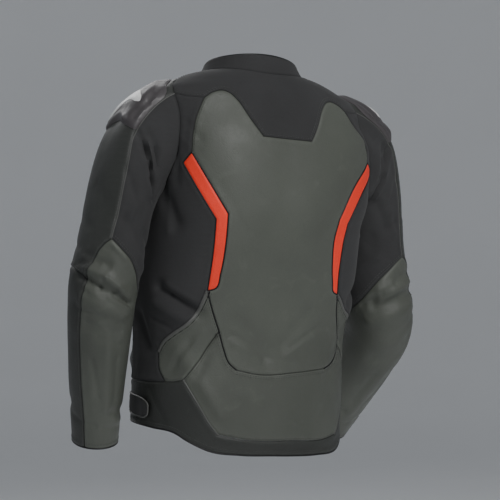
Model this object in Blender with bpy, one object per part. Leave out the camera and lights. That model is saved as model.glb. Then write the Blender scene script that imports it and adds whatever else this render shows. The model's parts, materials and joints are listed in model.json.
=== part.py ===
"""Worn leather motorcycle jacket: the cut pieces as closed solids, in metres, +Z up.

The front faces -Y, the back +Y and the left side, as worn, +X.  The origin is the centre of the
neck seam, at the height of its back, where the jacket is held.  Every piece is cut from one of
a few smooth surfaces: the trunk, two sleeves and the collar.  A point of the trunk is (angle,
height): the angle in degrees round from the centre back, positive to the left.  A point of a
sleeve is (angle, share): the angle round from its outer side towards the back, and the share of
the sleeve's length from the armhole to the cuff.
"""
import math

import bpy
import numpy as np
from mathutils import Vector
from mathutils.geometry import delaunay_2d_cdt

WALL = 0.0016               # thickness of the leather and stretch cloth
SEAM_GAP = 0.0003           # clear distance between two pieces at a seam
CELL = 0.0190               # distance between the points of a panel
ROW_PITCH = 0.866           # distance between rows of these points, in cells
SEAM_CLEAR = 0.62           # clear distance from them to the piece's outline, in cells
MARK_CLEAR = 0.45           # clear distance from them to an outline within the piece, in cells
SEAM_STEP = 0.0160          # distance between the points of a seam
OUTLINE_STEP = 0.0120       # the same for the outline of a small piece that lies on a panel
CORNER_CUT = 0.2            # share of an outline's side that is cut off at each corner
SLOPE_STEPS = (0.3, 0.002)  # degrees, and share of the length, over which a slope is measured
ARM_STEP = 0.002            # length over which the arm's direction is measured
PAPER_STEPS = 1400          # steps in which the trunk's length on paper is added up
CURVE_STEPS = 60            # steps in which a seam's length is added up, for each of its points
SHARP_ANGLE = 40.0          # edges sharper than this are not shaded smooth
VALLEY = 0.2                # walls that face apart by more than this cosine don't share an edge

# Trunk sections from below the hem up to the neck seam.
# Columns: height, half_width, depth_back, depth_front, centre_y, squareness
TRUNK = (
    (-0.660, 0.1790, 0.1260, 0.1180, 0.000, 2.5),
    (-0.600, 0.1780, 0.1280, 0.1190, 0.000, 2.5),
    (-0.520, 0.1780, 0.1290, 0.1200, -0.001, 2.5),
    (-0.430, 0.1800, 0.1260, 0.1190, -0.004, 2.5),
    (-0.350, 0.1910, 0.1290, 0.1230, -0.002, 2.5),
    (-0.280, 0.1880, 0.1340, 0.1280, 0.001, 2.6),
    (-0.210, 0.1840, 0.1360, 0.1290, 0.002, 2.6),
    (-0.140, 0.1860, 0.1290, 0.1200, 0.002, 2.5),
    (-0.080, 0.1880, 0.1120, 0.1060, 0.000, 2.4),
    (-0.040, 0.1840, 0.0960, 0.0920, -0.002, 2.3),
    (-0.022, 0.1660, 0.0870, 0.0860, -0.003, 2.2),
    (-0.011, 0.1370, 0.0790, 0.0810, -0.004, 2.1),
    (-0.004, 0.1110, 0.0730, 0.0760, -0.005, 2.0),
    (0.000, 0.0900, 0.0680, 0.0720, -0.006, 2.0),
)
SHOULDER_TILT = 0.10        # rise of the left shoulder over the right, per metre of width
TILT_HEIGHTS = (-0.40, -0.10)   # the tilt grows from none to full between these heights
LEAN = 0.034                # sideways shift of the hem against the shoulders
LEAN_HEIGHTS = (-0.62, -0.06)   # the shift shrinks to nothing between these heights
NECK_SLOPE = 0.24           # fall of the neck seam towards the front, per metre of depth
NECK_LEVEL = 0.062          # distance behind the origin where that slope starts from no fall
NECK_HEIGHTS = (-0.090, 0.0)    # the fall grows from none to full between these heights
NECK_RISE = 0.010           # rise of the neck seam at the shoulders
RISE_HEIGHTS = (-0.024, 0.0)    # that rise grows from none to full between these heights

# Armhole: an upright oval round the side of the trunk.
ARMHOLE_MIDDLE = -0.110
ARMHOLE_HALF_HEIGHT = 0.099
ARMHOLE_HALF_ANGLE = 21.0
ARMHOLE_STEP = 10           # degrees between the points of the armhole seam
YOKE_MEETS = 50             # degrees round the armhole where the yoke ends and the back begins
YOKE_ARM_MIDDLE = (67.0, -0.0505)       # point of the seam from the yoke's lobe to the armhole

# Sleeve sections along the arm, from the end of the cap to the cuff.
# Columns: x (outwards), y, z, half_width, half_depth
SLEEVE_LEFT = (
    (0.2525, 0.000, -0.235, 0.0525, 0.0660),
    (0.2675, 0.006, -0.290, 0.0540, 0.0640),
    (0.2795, 0.008, -0.335, 0.0555, 0.0600),
    (0.2820, 0.002, -0.380, 0.0540, 0.0570),
    (0.2785, -0.014, -0.440, 0.0500, 0.0530),
    (0.2720, -0.036, -0.520, 0.0440, 0.0460),
    (0.2640, -0.058, -0.600, 0.0375, 0.0390),
)
SLEEVE_RIGHT = (
    (0.2390, -0.028, -0.240, 0.0570, 0.0670),
    (0.2410, -0.021, -0.310, 0.0565, 0.0640),
    (0.2480, -0.012, -0.375, 0.0580, 0.0640),
    (0.2600, -0.026, -0.432, 0.0565, 0.0610),
    (0.2600, -0.070, -0.488, 0.0510, 0.0550),
    (0.2520, -0.118, -0.547, 0.0445, 0.0470),
    (0.2400, -0.168, -0.612, 0.0375, 0.0390),
)
CAP_LENGTH = 0.150          # the part of the sleeve that blends the armhole into the arm
# Pull of the shoulder's slope and of the arm's direction on each cap, as shares of its chord.
CAP_PULL = {1: (1.30, 1.10), -1: (1.28, 1.38)}
CAP_OUT = (0.72, 0.22)      # outward slope of the cap at the armhole: mean, and more at its top
CAP_UP = (-0.55, 0.35)      # upward slope of the cap at the armhole: mean, and more at its top
CAP_PAPER = (0.160, 0.110)  # flat length of the cap: mean, and more at its top

# Cut of the trunk pieces: (angle, height) points on the left side, mirrored for the right.
# A smooth curve runs through the points of each row.
LEFT_SEAMS = {
    "lobe": ((59.0, -0.052), (55.5, -0.0425), (51.0, -0.0385), (46.0, -0.0415), (40.0, -0.052),
             (31.0, -0.077), (21.0, -0.105)),
    "back_edge": ((59.0, -0.052), (61.5, -0.083), (62.3, -0.115), (62.0, -0.140)),
    "stripe_end": ((62.0, -0.140), (66.5, -0.158)),
    "stripe_outer_upper": ((66.5, -0.158), (47.0, -0.240)),
    "stripe_outer_lower": ((47.0, -0.240), (47.3, -0.290), (48.8, -0.350)),
    "stripe_inner_upper": ((62.0, -0.140), (40.7, -0.231)),
    "stripe_inner_lower": ((40.7, -0.231), (41.0, -0.278), (42.5, -0.322), (44.5, -0.346),
                           (48.8, -0.350)),
    "back_lower": ((48.8, -0.350), (45.6, -0.380), (41.0, -0.415)),
    "back_corner": ((41.0, -0.415), (37.5, -0.445), (34.0, -0.466), (29.0, -0.478)),
    "side_upper": ((48.8, -0.350), (50.4, -0.364), (53.0, -0.383), (58.0, -0.402),
                   (66.0, -0.420), (71.5, -0.434), (74.6, -0.450)),
    "side_lower": ((74.6, -0.450), (74.0, -0.475), (69.5, -0.497)),
    "side_lumbar": ((41.0, -0.415), (46.8, -0.440), (52.0, -0.466), (56.5, -0.484),
                    (59.0, -0.493)),
    "hem_grey": ((59.0, -0.493), (64.0, -0.4960), (69.5, -0.497)),
    "hem_black": ((69.5, -0.497), (85.0, -0.499), (102.0, -0.500)),
    "hem_front": ((102.0, -0.500), (130.0, -0.508), (155.0, -0.514), (176.0, -0.516)),
    "lumbar_corner": ((59.0, -0.493), (51.0, -0.530), (43.0, -0.568), (39.0, -0.582)),
    "side_seam": ((90.0, -0.209), (93.0, -0.260), (98.0, -0.340), (101.0, -0.420),
                  (102.0, -0.500)),
    "hem_edge": ((176.0, -0.566), (155.0, -0.566), (130.0, -0.567), (100.0, -0.570),
                 (78.0, -0.573), (64.0, -0.578), (55.0, -0.593), (44.0, -0.608),
                 (25.0, -0.616), (0.0, -0.620)),
}
# The seams that run further out on the right side, which the wearer turns back.
RIGHT_SEAMS = {
    "back_edge": ((-59.0, -0.052), (-63.5, -0.083), (-65.0, -0.110), (-63.5, -0.133)),
    "stripe_end": ((-63.5, -0.133), (-69.5, -0.146)),
    "stripe_outer_upper": ((-69.5, -0.146), (-56.5, -0.183), (-45.8, -0.240)),
    "stripe_outer_lower": ((-45.8, -0.240), (-44.2, -0.272), (-44.6, -0.312), (-47.2, -0.363)),
    "stripe_inner_upper": ((-63.5, -0.133), (-50.0, -0.173), (-38.6, -0.233)),
    "stripe_inner_lower": ((-38.6, -0.233), (-36.4, -0.268), (-38.0, -0.308), (-41.2, -0.340),
                           (-43.4, -0.358), (-47.2, -0.363)),
    "back_lower": ((-47.2, -0.363), (-50.0, -0.400), (-55.0, -0.436)),
    "back_corner": ((-55.0, -0.436), (-56.0, -0.456), (-51.0, -0.475), (-42.0, -0.484)),
    "side_upper": ((-47.2, -0.363), (-50.5, -0.372), (-56.0, -0.388), (-64.0, -0.406),
                   (-72.0, -0.422), (-79.0, -0.436), (-82.0, -0.452)),
    "side_lower": ((-82.0, -0.452), (-82.5, -0.476), (-80.0, -0.498)),
    "side_lumbar": ((-55.0, -0.436), (-61.0, -0.456), (-66.5, -0.475), (-71.0, -0.495)),
    "hem_grey": ((-71.0, -0.495), (-75.5, -0.4975), (-80.0, -0.498)),
    "hem_black": ((-80.0, -0.498), (-90.0, -0.499), (-102.0, -0.500)),
    "lumbar_corner": ((-71.0, -0.495), (-66.5, -0.535), (-60.0, -0.577), (-54.0, -0.596)),
    "hem_edge": ((-176.0, -0.566), (-155.0, -0.566), (-130.0, -0.567), (-100.0, -0.572),
                 (-80.0, -0.584), (-68.0, -0.605), (-56.0, -0.622), (-37.0, -0.6245),
                 (-20.0, -0.623), (0.0, -0.620)),
}
# Seams that cross the centre back, from left to right.
CROSS_SEAMS = {
    "yoke_foot": ((21.0, -0.105), (-21.0, -0.105)),
    "back_foot": ((29.0, -0.478), (16.0, -0.4855), (-20.0, -0.4865), (-42.0, -0.484)),
    "lumbar_foot": ((39.0, -0.582), (24.0, -0.5905), (-20.0, -0.598), (-42.0, -0.6005),
                    (-54.0, -0.596)),
}
ZIP_HALF_WIDTH = 0.0075     # from the centre front to the edge of each front

# Cut of the sleeve pieces: (angle, share) points.
SLEEVE_SEAMS = {
    "outer_back": ((50.0, 0.0), (53.0, 0.08), (53.0, 0.12), (58.0, 0.17), (59.5, 0.24),
                   (57.0, 0.364)),
    "elbow_top": ((57.0, 0.364), (76.0, 0.385), (96.0, 0.408), (120.0, 0.442), (150.0, 0.500),
                  (200.0, 0.540)),
    "elbow_edge": ((57.0, 0.364), (46.0, 0.385), (36.0, 0.430), (30.0, 0.480)),
    "forearm_edge": ((30.0, 0.480), (25.0, 0.580), (27.0, 0.740), (33.0, 0.880), (35.0, 1.0)),
    "outer_foot": ((30.0, 0.480), (-20.0, 0.455), (-80.0, 0.470)),
    "inner_foot": ((-80.0, 0.470), (-120.0, 0.500), (-160.0, 0.540)),
    "front": ((-80.0, 0.0), (-80.0, 0.15), (-78.0, 0.30), (-80.0, 0.470)),
    "under": ((-160.0, 0.540), (-160.0, 0.75), (-160.0, 1.0)),
}
# The seams that run lower on the right sleeve, whose elbow is bent more.
RIGHT_SLEEVE_SEAMS = {
    "outer_back": ((50.0, 0.0), (53.0, 0.08), (53.0, 0.12), (58.0, 0.17), (60.0, 0.25),
                   (58.0, 0.402)),
    "elbow_top": ((58.0, 0.402), (72.0, 0.414), (94.0, 0.437), (116.0, 0.457), (150.0, 0.492),
                  (200.0, 0.540)),
    "elbow_edge": ((58.0, 0.402), (47.0, 0.414), (37.0, 0.440), (30.0, 0.480)),
}
OUTER_MEETS = (50, -80)     # degrees round the armhole where the outer sleeve piece ends
CUFF_STEPS = 8              # steps along each of the two seams' ends round the cuff

# Largest folds of the trunk, raised above (+) or sunk below (-) its smooth surface.
# Columns: angle_from, height_from, angle_to, height_to, half_width, rise
TRUNK_FOLDS = (
    (0.0, -0.150, 0.0, -0.420, 0.034, -0.0016),
    (37.0, -0.140, 33.0, -0.210, 0.052, 0.0012),
    (-37.0, -0.140, -33.0, -0.210, 0.052, 0.0012),
    (-68.0, -0.120, -66.0, -0.190, 0.050, 0.0130),
    (74.0, -0.345, 53.0, -0.384, 0.010, -0.0065),
    (76.0, -0.372, 60.0, -0.396, 0.010, 0.0040),
    (-76.0, -0.350, -62.0, -0.380, 0.011, -0.0055),
    (-76.0, -0.378, -62.0, -0.398, 0.010, 0.0045),
    (84.0, -0.180, 68.0, -0.250, 0.012, -0.0060),
    (-84.0, -0.180, -68.0, -0.245, 0.012, -0.0065),
    (44.0, -0.425, 52.0, -0.485, 0.009, -0.0040),
    (62.0, -0.445, 40.0, -0.545, 0.014, 0.0035),
    (-60.0, -0.440, -44.0, -0.500, 0.012, -0.0035),
    (30.0, -0.400, 8.0, -0.455, 0.016, -0.0030),
    (-28.0, -0.385, -6.0, -0.440, 0.016, -0.0030),
    (92.0, -0.395, 84.0, -0.440, 0.012, -0.0060),
    (-94.0, -0.390, -84.0, -0.436, 0.012, -0.0060),
    (158.0, -0.400, 118.0, -0.430, 0.014, -0.0060),
    (-154.0, -0.385, -116.0, -0.425, 0.014, -0.0060),
    (150.0, -0.455, 112.0, -0.470, 0.013, 0.0045),
    (-150.0, -0.450, -114.0, -0.472, 0.013, 0.0045),
    (112.0, -0.190, 138.0, -0.240, 0.014, -0.0060),
    (-112.0, -0.190, -136.0, -0.245, 0.014, -0.0060),
)
FOLD_RADIUS = 0.165         # turns an angle on the trunk into a distance between folds
FOLD_FADE = (-0.100, -0.060)            # heights over which the folds of the trunk fade out

# Largest folds of the sleeves.
# Columns: angle_from, share_from, angle_to, share_to, half_width, rise
LEFT_SLEEVE_FOLDS = (
    (62.0, 0.110, 98.0, 0.160, 0.009, -0.0060),
    (70.0, 0.300, 110.0, 0.360, 0.011, -0.0035),
    (26.0, 0.425, 62.0, 0.440, 0.007, -0.0040),
    (30.0, 0.455, 96.0, 0.485, 0.008, 0.0055),
    (14.0, 0.478, 122.0, 0.528, 0.007, -0.0080),
    (24.0, 0.520, 104.0, 0.560, 0.009, 0.0040),
    (40.0, 0.590, 96.0, 0.610, 0.010, -0.0030),
    (78.0, 0.640, 84.0, 0.860, 0.009, 0.0028),
    (-150.0, 0.470, -80.0, 0.455, 0.010, -0.0065),
    (-140.0, 0.505, -70.0, 0.500, 0.010, 0.0045),
    (-130.0, 0.540, -76.0, 0.535, 0.009, -0.0050),
    (-60.0, 0.240, -110.0, 0.300, 0.012, -0.0045),
    (100.0, 0.880, 170.0, 0.900, 0.009, -0.0030),
    (-20.0, 0.870, -90.0, 0.890, 0.009, -0.0030),
)
RIGHT_SLEEVE_FOLDS = (
    (66.0, 0.100, 100.0, 0.150, 0.010, -0.0060),
    (76.0, 0.290, 120.0, 0.350, 0.012, -0.0040),
    (34.0, 0.452, 80.0, 0.462, 0.008, -0.0045),
    (50.0, 0.470, 116.0, 0.482, 0.007, 0.0045),
    (30.0, 0.492, 130.0, 0.505, 0.007, -0.0060),
    (60.0, 0.525, 140.0, 0.540, 0.010, 0.0040),
    (60.0, 0.600, 120.0, 0.640, 0.011, -0.0030),
    (84.0, 0.680, 90.0, 0.880, 0.010, 0.0028),
    (-160.0, 0.450, -76.0, 0.440, 0.011, -0.0080),
    (-150.0, 0.485, -66.0, 0.485, 0.011, 0.0060),
    (-150.0, 0.522, -74.0, 0.525, 0.010, -0.0075),
    (-60.0, 0.220, -112.0, 0.280, 0.012, -0.0050),
    (110.0, 0.885, 176.0, 0.900, 0.009, -0.0030),
    (-24.0, 0.865, -94.0, 0.885, 0.009, -0.0030),
)
SLEEVE_RADIUS = 0.055       # turns an angle on a sleeve into a distance
SLEEVE_FOLD_FADE = (0.04, 0.12)         # shares over which the folds of a sleeve fade in
SLEEVE_TURN = 170.0         # angles beyond this are the same as those from the other way round

# Collar, raised from the neck seam.
COLLAR_HEIGHTS = (0.031, 0.019, 0.030)  # at its back, sides and front
COLLAR_LEAN = 0.011         # how far its top leans in towards the neck at its back and sides
COLLAR_WALL = 0.0028
COLLAR_PAPER = (0.068, 0.040)           # radius and height of the collar when laid flat
NECK_STEPS = 9              # steps along each quarter of the neck seam
COLLAR_ROWS = 3             # steps up the collar's ends

# Shoulder protector and the light insert in it: (angle, share) outlines on the outer sleeve.
CUP_OUTLINE = ((48.6, 0.012), (51.2, 0.050), (52.0, 0.085), (52.2, 0.113), (30.0, 0.124),
               (-6.0, 0.130), (-38.0, 0.120), (-52.0, 0.080), (-46.0, 0.026), (-20.0, 0.012),
               (14.0, 0.011))
INSERT_OUTLINE = ((20.0, 0.063), (31.0, 0.060), (35.0, 0.069), (26.0, 0.079), (8.0, 0.089),
                  (-14.0, 0.100), (-34.0, 0.108), (-38.0, 0.082), (-16.0, 0.068), (4.0, 0.064))
CUP_EDGE = 0.0028           # thickness of the protector at its edge
CUP_CROWN = 0.0062          # more thickness at its middle
CUP_DOME = 0.035            # distance from its edge over which the thickness grows
INSERT_THICKNESS = 0.0012

# Waist adjuster tab: (angle, height) outline on the hem band.
TAB_OUTLINE = ((79.0, -0.529), (100.0, -0.524), (124.0, -0.526), (124.0, -0.551),
               (100.0, -0.556), (79.0, -0.559))
TAB_THICKNESS = 0.0026
TAB_LIFT = 0.0050           # how far its free rear end stands off
TAB_BEND = 14.0             # degrees over which the rear end leaves the band

# Front zip, its slider and the pull tab that hangs from the slider.
ZIP_THICKNESS = 0.0024
ZIP_STEPS = 35              # steps along the zip up to the neck seam
ZIP_COLLAR_STEPS = 4        # steps along the zip up the collar
SLIDER = (0.0090, 0.0050, 0.0120)       # width, depth, height
PULL = (0.0070, 0.0016, 0.0200)         # width, depth, height
PULL_DROP = 0.0035          # from the slider's top down to the hinge of the pull
PULL_GAP = 0.0004           # between the slider and the pull


def smoothstep(value, low, high):
    part = np.clip((value - low) / (high - low), 0.0, 1.0)
    return part * part * (3.0 - 2.0 * part)


def smooth_rows(table, at):
    """Rows of a table, read along its first column through a smooth curve."""
    table = np.asarray(table, dtype=float)
    at = np.asarray(at, dtype=float)
    keys, rows = table[:, 0], table[:, 1:]
    slopes = np.gradient(rows, keys, axis=0)
    low = np.clip(np.searchsorted(keys, at) - 1, 0, len(keys) - 2)
    span = keys[low + 1] - keys[low]
    part = np.clip((at - keys[low]) / span, 0.0, 1.0)[..., None]
    span = span[..., None]
    one = 1.0 - part
    return (rows[low] * one * one * (1.0 + 2.0 * part)
            + rows[low + 1] * part * part * (3.0 - 2.0 * part)
            + slopes[low] * span * part * one * one
            - slopes[low + 1] * span * part * part * one)


def fold_rise(table, radius, length, across, along):
    """Height of the folds at points whose angle is across and whose height or share is along."""
    place = np.stack([np.radians(across) * radius, along * length], axis=-1)
    rise = np.zeros(place.shape[:-1])
    for angle_from, along_from, angle_to, along_to, half_width, height in table:
        start = np.array([math.radians(angle_from) * radius, along_from * length])
        end = np.array([math.radians(angle_to) * radius, along_to * length])
        run = end - start
        part = np.clip(((place - start) @ run) / (run @ run), 0.0, 1.0)
        away = np.linalg.norm(place - start - part[..., None] * run, axis=-1)
        rise = rise + height * np.exp(-(away / half_width) ** 2)
    return rise


def smooth_trunk(angle, height):
    """Outer surface of the trunk without its folds."""
    angle, height = np.broadcast_arrays(np.radians(angle), np.asarray(height, dtype=float))
    half_width, back, front, centre_y, square = np.moveaxis(smooth_rows(TRUNK, height), -1, 0)
    sine, cosine = np.sin(angle), np.cos(angle)
    depth = np.where(cosine > 0.0, back, front)
    radius = (np.abs(sine) / half_width) ** square + (np.abs(cosine) / depth) ** square
    radius = radius ** (-1.0 / square)
    x = radius * sine + LEAN * (1.0 - smoothstep(height, *LEAN_HEIGHTS))
    y = radius * cosine + centre_y
    tilt = SHOULDER_TILT * smoothstep(height, *TILT_HEIGHTS)
    slope = NECK_SLOPE * smoothstep(height, *NECK_HEIGHTS)
    rise = NECK_RISE * smoothstep(height, *RISE_HEIGHTS) * sine * sine
    return np.stack([x, y, height + tilt * x + slope * (y - NECK_LEVEL) + rise], axis=-1)


def normals(point, across, along, low, high, outward):
    """Unit normals of a surface given by a function of across (degrees) and along."""
    step_across, step_along = SLOPE_STEPS[0], SLOPE_STEPS[1] * (high - low)
    above, below = np.minimum(along + step_along, high), np.maximum(along - step_along, low)
    first = point(across + step_across, along) - point(across - step_across, along)
    second = point(across, above) - point(across, below)
    normal = np.cross(second, first) * outward
    return normal / np.linalg.norm(normal, axis=-1, keepdims=True)


def armhole(angle, side):
    """Angle and height on the trunk of a point of the armhole seam; 0 is its top, 90 its back."""
    turn = np.radians(angle)
    round_trunk = 90.0 - ARMHOLE_HALF_ANGLE * np.sin(turn)
    return side * round_trunk, ARMHOLE_MIDDLE + ARMHOLE_HALF_HEIGHT * np.cos(turn)


def sleeve_stations(side):
    """The section table of a sleeve, and the length from the armhole to each section."""
    table = np.array(SLEEVE_LEFT if side > 0 else SLEEVE_RIGHT)
    steps = np.linalg.norm(np.diff(table[:, :3], axis=0), axis=1)
    return table, CAP_LENGTH + np.concatenate([[0.0], np.cumsum(steps)])


def arm_tube(angle, length, side):
    """A point of the tube round the arm, and the direction of the arm there."""
    table, stations = sleeve_stations(side)
    keyed = np.column_stack([stations, table])
    row = smooth_rows(keyed, length)
    ahead, behind = (smooth_rows(keyed, length + step) for step in (ARM_STEP, -ARM_STEP))
    along = ahead[..., :3] - behind[..., :3]
    along /= np.linalg.norm(along, axis=-1, keepdims=True)
    backward = np.array([0.0, 1.0, 0.0]) - along * along[..., 1:2]
    backward /= np.linalg.norm(backward, axis=-1, keepdims=True)
    outward = np.cross(along, backward)
    turn = np.radians(angle)
    point = (row[..., :3] + outward * (row[..., 3] * np.cos(turn))[..., None]
             + backward * (row[..., 4] * np.sin(turn))[..., None])
    return point, along


def smooth_sleeve(angle, share, side):
    """Outer surface of a sleeve without its folds; the cap blends the armhole into the tube."""
    angle, share = np.broadcast_arrays(np.asarray(angle, float), np.asarray(share, float))
    length = share * sleeve_stations(side)[1][-1]
    tube, _ = arm_tube(angle, np.maximum(length, CAP_LENGTH), side)
    low, along = arm_tube(angle, np.full(angle.shape, CAP_LENGTH), side)
    start = TRUNK_SURFACE.point(*armhole(angle, side)) * np.array([side, 1.0, 1.0])
    turn = np.radians(angle)
    first = np.stack([CAP_OUT[0] + CAP_OUT[1] * np.cos(turn), 0.0 * turn,
                      CAP_UP[0] + CAP_UP[1] * np.cos(turn)], axis=-1)
    first /= np.linalg.norm(first, axis=-1, keepdims=True)
    chord = np.linalg.norm(low - start, axis=-1, keepdims=True)
    part = np.clip(length / CAP_LENGTH, 0.0, 1.0)[..., None]
    one = 1.0 - part
    cap = (start * one * one * (1.0 + 2.0 * part) + low * part * part * (3.0 - 2.0 * part)
           + first * chord * CAP_PULL[side][0] * part * one * one
           - along * chord * CAP_PULL[side][1] * part * part * one)
    point = np.where((length < CAP_LENGTH)[..., None], cap, tube)
    return point * np.array([side, 1.0, 1.0])


class Trunk:
    """The trunk as a surface of (angle, height)."""

    def __init__(self):
        heights = np.linspace(TRUNK[0][0], 0.0, PAPER_STEPS + 1)
        rows = smooth_rows(TRUNK, heights)
        girth = (rows[:, 0] + 0.5 * (rows[:, 1] + rows[:, 2])) / 2.0
        steps = np.hypot(np.diff(heights), np.diff(girth))
        self.heights = heights
        self.paper = np.concatenate([[0.0], np.cumsum(steps)])

    def point(self, angle, height):
        smooth = smooth_trunk(angle, height)
        rise = fold_rise(TRUNK_FOLDS, FOLD_RADIUS, 1.0, angle, height)
        fade = 1.0 - smoothstep(height, *FOLD_FADE)
        normal = normals(smooth_trunk, angle, height, TRUNK[0][0], 0.0, 1.0)
        return smooth + normal * (rise * fade)[..., None]

    def normal(self, angle, height):
        return normals(self.point, angle, height, TRUNK[0][0], 0.0, 1.0)

    def flat(self, points):
        """Lays (angle, height) points out flat, in metres."""
        return np.column_stack([np.radians(points[:, 0]) * FOLD_RADIUS,
                                np.interp(points[:, 1], self.heights, self.paper)])

    def unflat(self, points):
        return np.column_stack([np.degrees(points[:, 0] / FOLD_RADIUS),
                                np.interp(points[:, 1], self.paper, self.heights)])


class Sleeve:
    """A sleeve as a surface of (angle, share); side is 1 on the left and -1 on the right."""

    def __init__(self, side):
        self.side = side
        self.total = sleeve_stations(side)[1][-1]
        self.folds = LEFT_SLEEVE_FOLDS if side > 0 else RIGHT_SLEEVE_FOLDS

    def smooth(self, angle, share):
        return smooth_sleeve(angle, share, self.side)

    def point(self, angle, share):
        wrapped = (np.asarray(angle) + SLEEVE_TURN) % 360.0 - SLEEVE_TURN
        rise = fold_rise(self.folds, SLEEVE_RADIUS, self.total, wrapped, share)
        fade = smoothstep(share, *SLEEVE_FOLD_FADE)
        normal = normals(self.smooth, angle, share, 0.0, 1.0, self.side)
        return self.smooth(angle, share) + normal * (rise * fade)[..., None]

    def normal(self, angle, share):
        return normals(self.point, angle, share, 0.0, 1.0, self.side)

    def chord(self, angle):
        """Length of the cap along the sleeve at an angle, as a maker's paper pattern has it."""
        return CAP_PAPER[0] + CAP_PAPER[1] * np.cos(np.radians(angle))

    def flat(self, points):
        angle, length = points[:, 0], points[:, 1] * self.total
        cap = -self.chord(angle) * (1.0 - length / CAP_LENGTH)
        return np.column_stack([np.radians(angle) * SLEEVE_RADIUS,
                                -np.where(length < CAP_LENGTH, cap, length - CAP_LENGTH)])

    def unflat(self, points):
        angle = np.degrees(points[:, 0] / SLEEVE_RADIUS)
        down = -points[:, 1]
        cap = CAP_LENGTH * (1.0 + down / self.chord(angle))
        return np.column_stack([angle, np.where(down < 0.0, cap, CAP_LENGTH + down)
                                / self.total])


class Collar:
    """The stand collar as a surface of (angle, share of its height)."""

    def point(self, angle, share):
        base = smooth_trunk(angle, np.zeros(np.shape(angle)))
        turn = np.radians(angle)
        back, side, front = COLLAR_HEIGHTS
        most = np.where(np.cos(turn) > 0.0, back, front)
        height = side + (most - side) * np.cos(turn) ** 2
        inward = np.stack([-np.sin(turn), -np.cos(turn), 0.0 * turn], axis=-1)
        upward = np.array([0.0, 0.0, 1.0])
        lean = COLLAR_LEAN * np.asarray(share) * np.where(np.cos(turn) > 0.0, 1.0,
                                                          np.sin(turn) ** 2)
        return (base + upward * (height * share)[..., None] + inward * lean[..., None])

    def normal(self, angle, share):
        return normals(self.point, angle, share, 0.0, 1.0, 1.0)

    def flat(self, points):
        radius, height = COLLAR_PAPER
        return np.column_stack([np.radians(points[:, 0]) * radius, points[:, 1] * height])

    def unflat(self, points):
        radius, height = COLLAR_PAPER
        return np.column_stack([np.degrees(points[:, 0] / radius), points[:, 1] / height])


TRUNK_SURFACE = Trunk()
COLLAR_SURFACE = Collar()
SLEEVES = {1: Sleeve(1), -1: Sleeve(-1)}
SIDE_NAMES = {1: "left", -1: "right"}


def smooth_curve(points, surface, step=SEAM_STEP):
    """A smooth curve through points of a surface, in equal steps along the surface."""
    points = np.asarray(points, dtype=float)
    if len(points) == 2:
        shares = np.linspace(0.0, 1.0, CURVE_STEPS + 1)[:, None]
        fine = points[0] + (points[1] - points[0]) * shares
    else:
        flat = surface.flat(points)
        keys = np.concatenate([[0.0], np.cumsum(np.linalg.norm(np.diff(flat, axis=0), axis=1))])
        keyed = np.column_stack([keys, points])
        fine = smooth_rows(keyed, np.linspace(0.0, keys[-1], CURVE_STEPS * len(points)))
    places = surface.point(fine[:, 0], fine[:, 1])
    run = np.concatenate([[0.0], np.cumsum(np.linalg.norm(np.diff(places, axis=0), axis=1))])
    count = max(1, round(run[-1] / step))
    wanted = np.linspace(0.0, run[-1], count + 1)
    curve = np.column_stack([np.interp(wanted, run, fine[:, k]) for k in (0, 1)])
    curve[0], curve[-1] = points[0], points[-1]
    return curve


def zip_edge(height, side):
    """A point of the trunk at the edge of the front zip."""
    height = np.asarray(height, dtype=float)
    row = smooth_rows(TRUNK, height)
    angle = 180.0 - np.degrees(np.arcsin(ZIP_HALF_WIDTH / row[..., 2]))
    return np.stack([side * angle, height], axis=-1)


def armhole_run(start, end):
    """Degrees round the armhole from start to end, in steps that its two sides share."""
    count = abs(end - start) // ARMHOLE_STEP
    return np.linspace(start, end, count + 1)


def armhole_on_trunk(start, end, side):
    return np.column_stack(armhole(armhole_run(start, end), side))


def trunk_seams():
    """Every seam of the trunk by name, as an array of (angle, height) points."""
    seams = {}
    for name, points in CROSS_SEAMS.items():
        seams[name] = smooth_curve(points, TRUNK_SURFACE)
    for side, word in SIDE_NAMES.items():
        mirror = np.array([side, 1.0])
        own = {}
        for name, points in LEFT_SEAMS.items():
            points = np.array(points) * mirror
            if side < 0:
                points = RIGHT_SEAMS.get(name, points)
            own[name] = smooth_curve(points, TRUNK_SURFACE)
        top, meets = armhole(0.0, side), armhole(YOKE_MEETS, side)
        bottom = armhole(180.0, side)
        own["side_seam"][0] = bottom
        own["shoulder"] = smooth_curve(((side * 90.0, 0.0), top), TRUNK_SURFACE)
        own["yoke_arm"] = smooth_curve((own["lobe"][0], YOKE_ARM_MIDDLE * mirror, meets),
                                       TRUNK_SURFACE)
        own["arm_yoke"] = armhole_on_trunk(0, YOKE_MEETS, side)
        own["arm_back"] = armhole_on_trunk(YOKE_MEETS, 180, side)
        own["arm_front"] = armhole_on_trunk(180, 360, side)
        for name, first, last in (("neck_back", 0.0, side * 90.0),
                                  ("neck_front", side * 90.0, zip_edge(0.0, side)[0])):
            turns = np.linspace(first, last, NECK_STEPS + 1)
            own[name] = np.column_stack([turns, np.zeros(len(turns))])
        chest = zip_edge(np.linspace(LEFT_SEAMS["hem_front"][-1][1], 0.0, ZIP_STEPS), side)
        own["front_edge"] = smooth_curve(chest, TRUNK_SURFACE)
        own["hem_front"][-1] = chest[0]
        foot = zip_edge(np.array([LEFT_SEAMS["hem_edge"][0][1], chest[0][1]]), side)
        own["front_foot"] = smooth_curve(foot, TRUNK_SURFACE)
        own["hem_edge"][0] = foot[0]
        for name, points in own.items():
            seams[f"{name}_{word}"] = points
    return seams


def outline(seams, *names):
    """Joins seams end to end into one closed outline; a name after a minus runs backwards."""
    parts = []
    for name in names:
        run = seams[name.lstrip("-")]
        parts.append((run[::-1] if name.startswith("-") else run)[:-1])
    return np.concatenate(parts)


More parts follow.
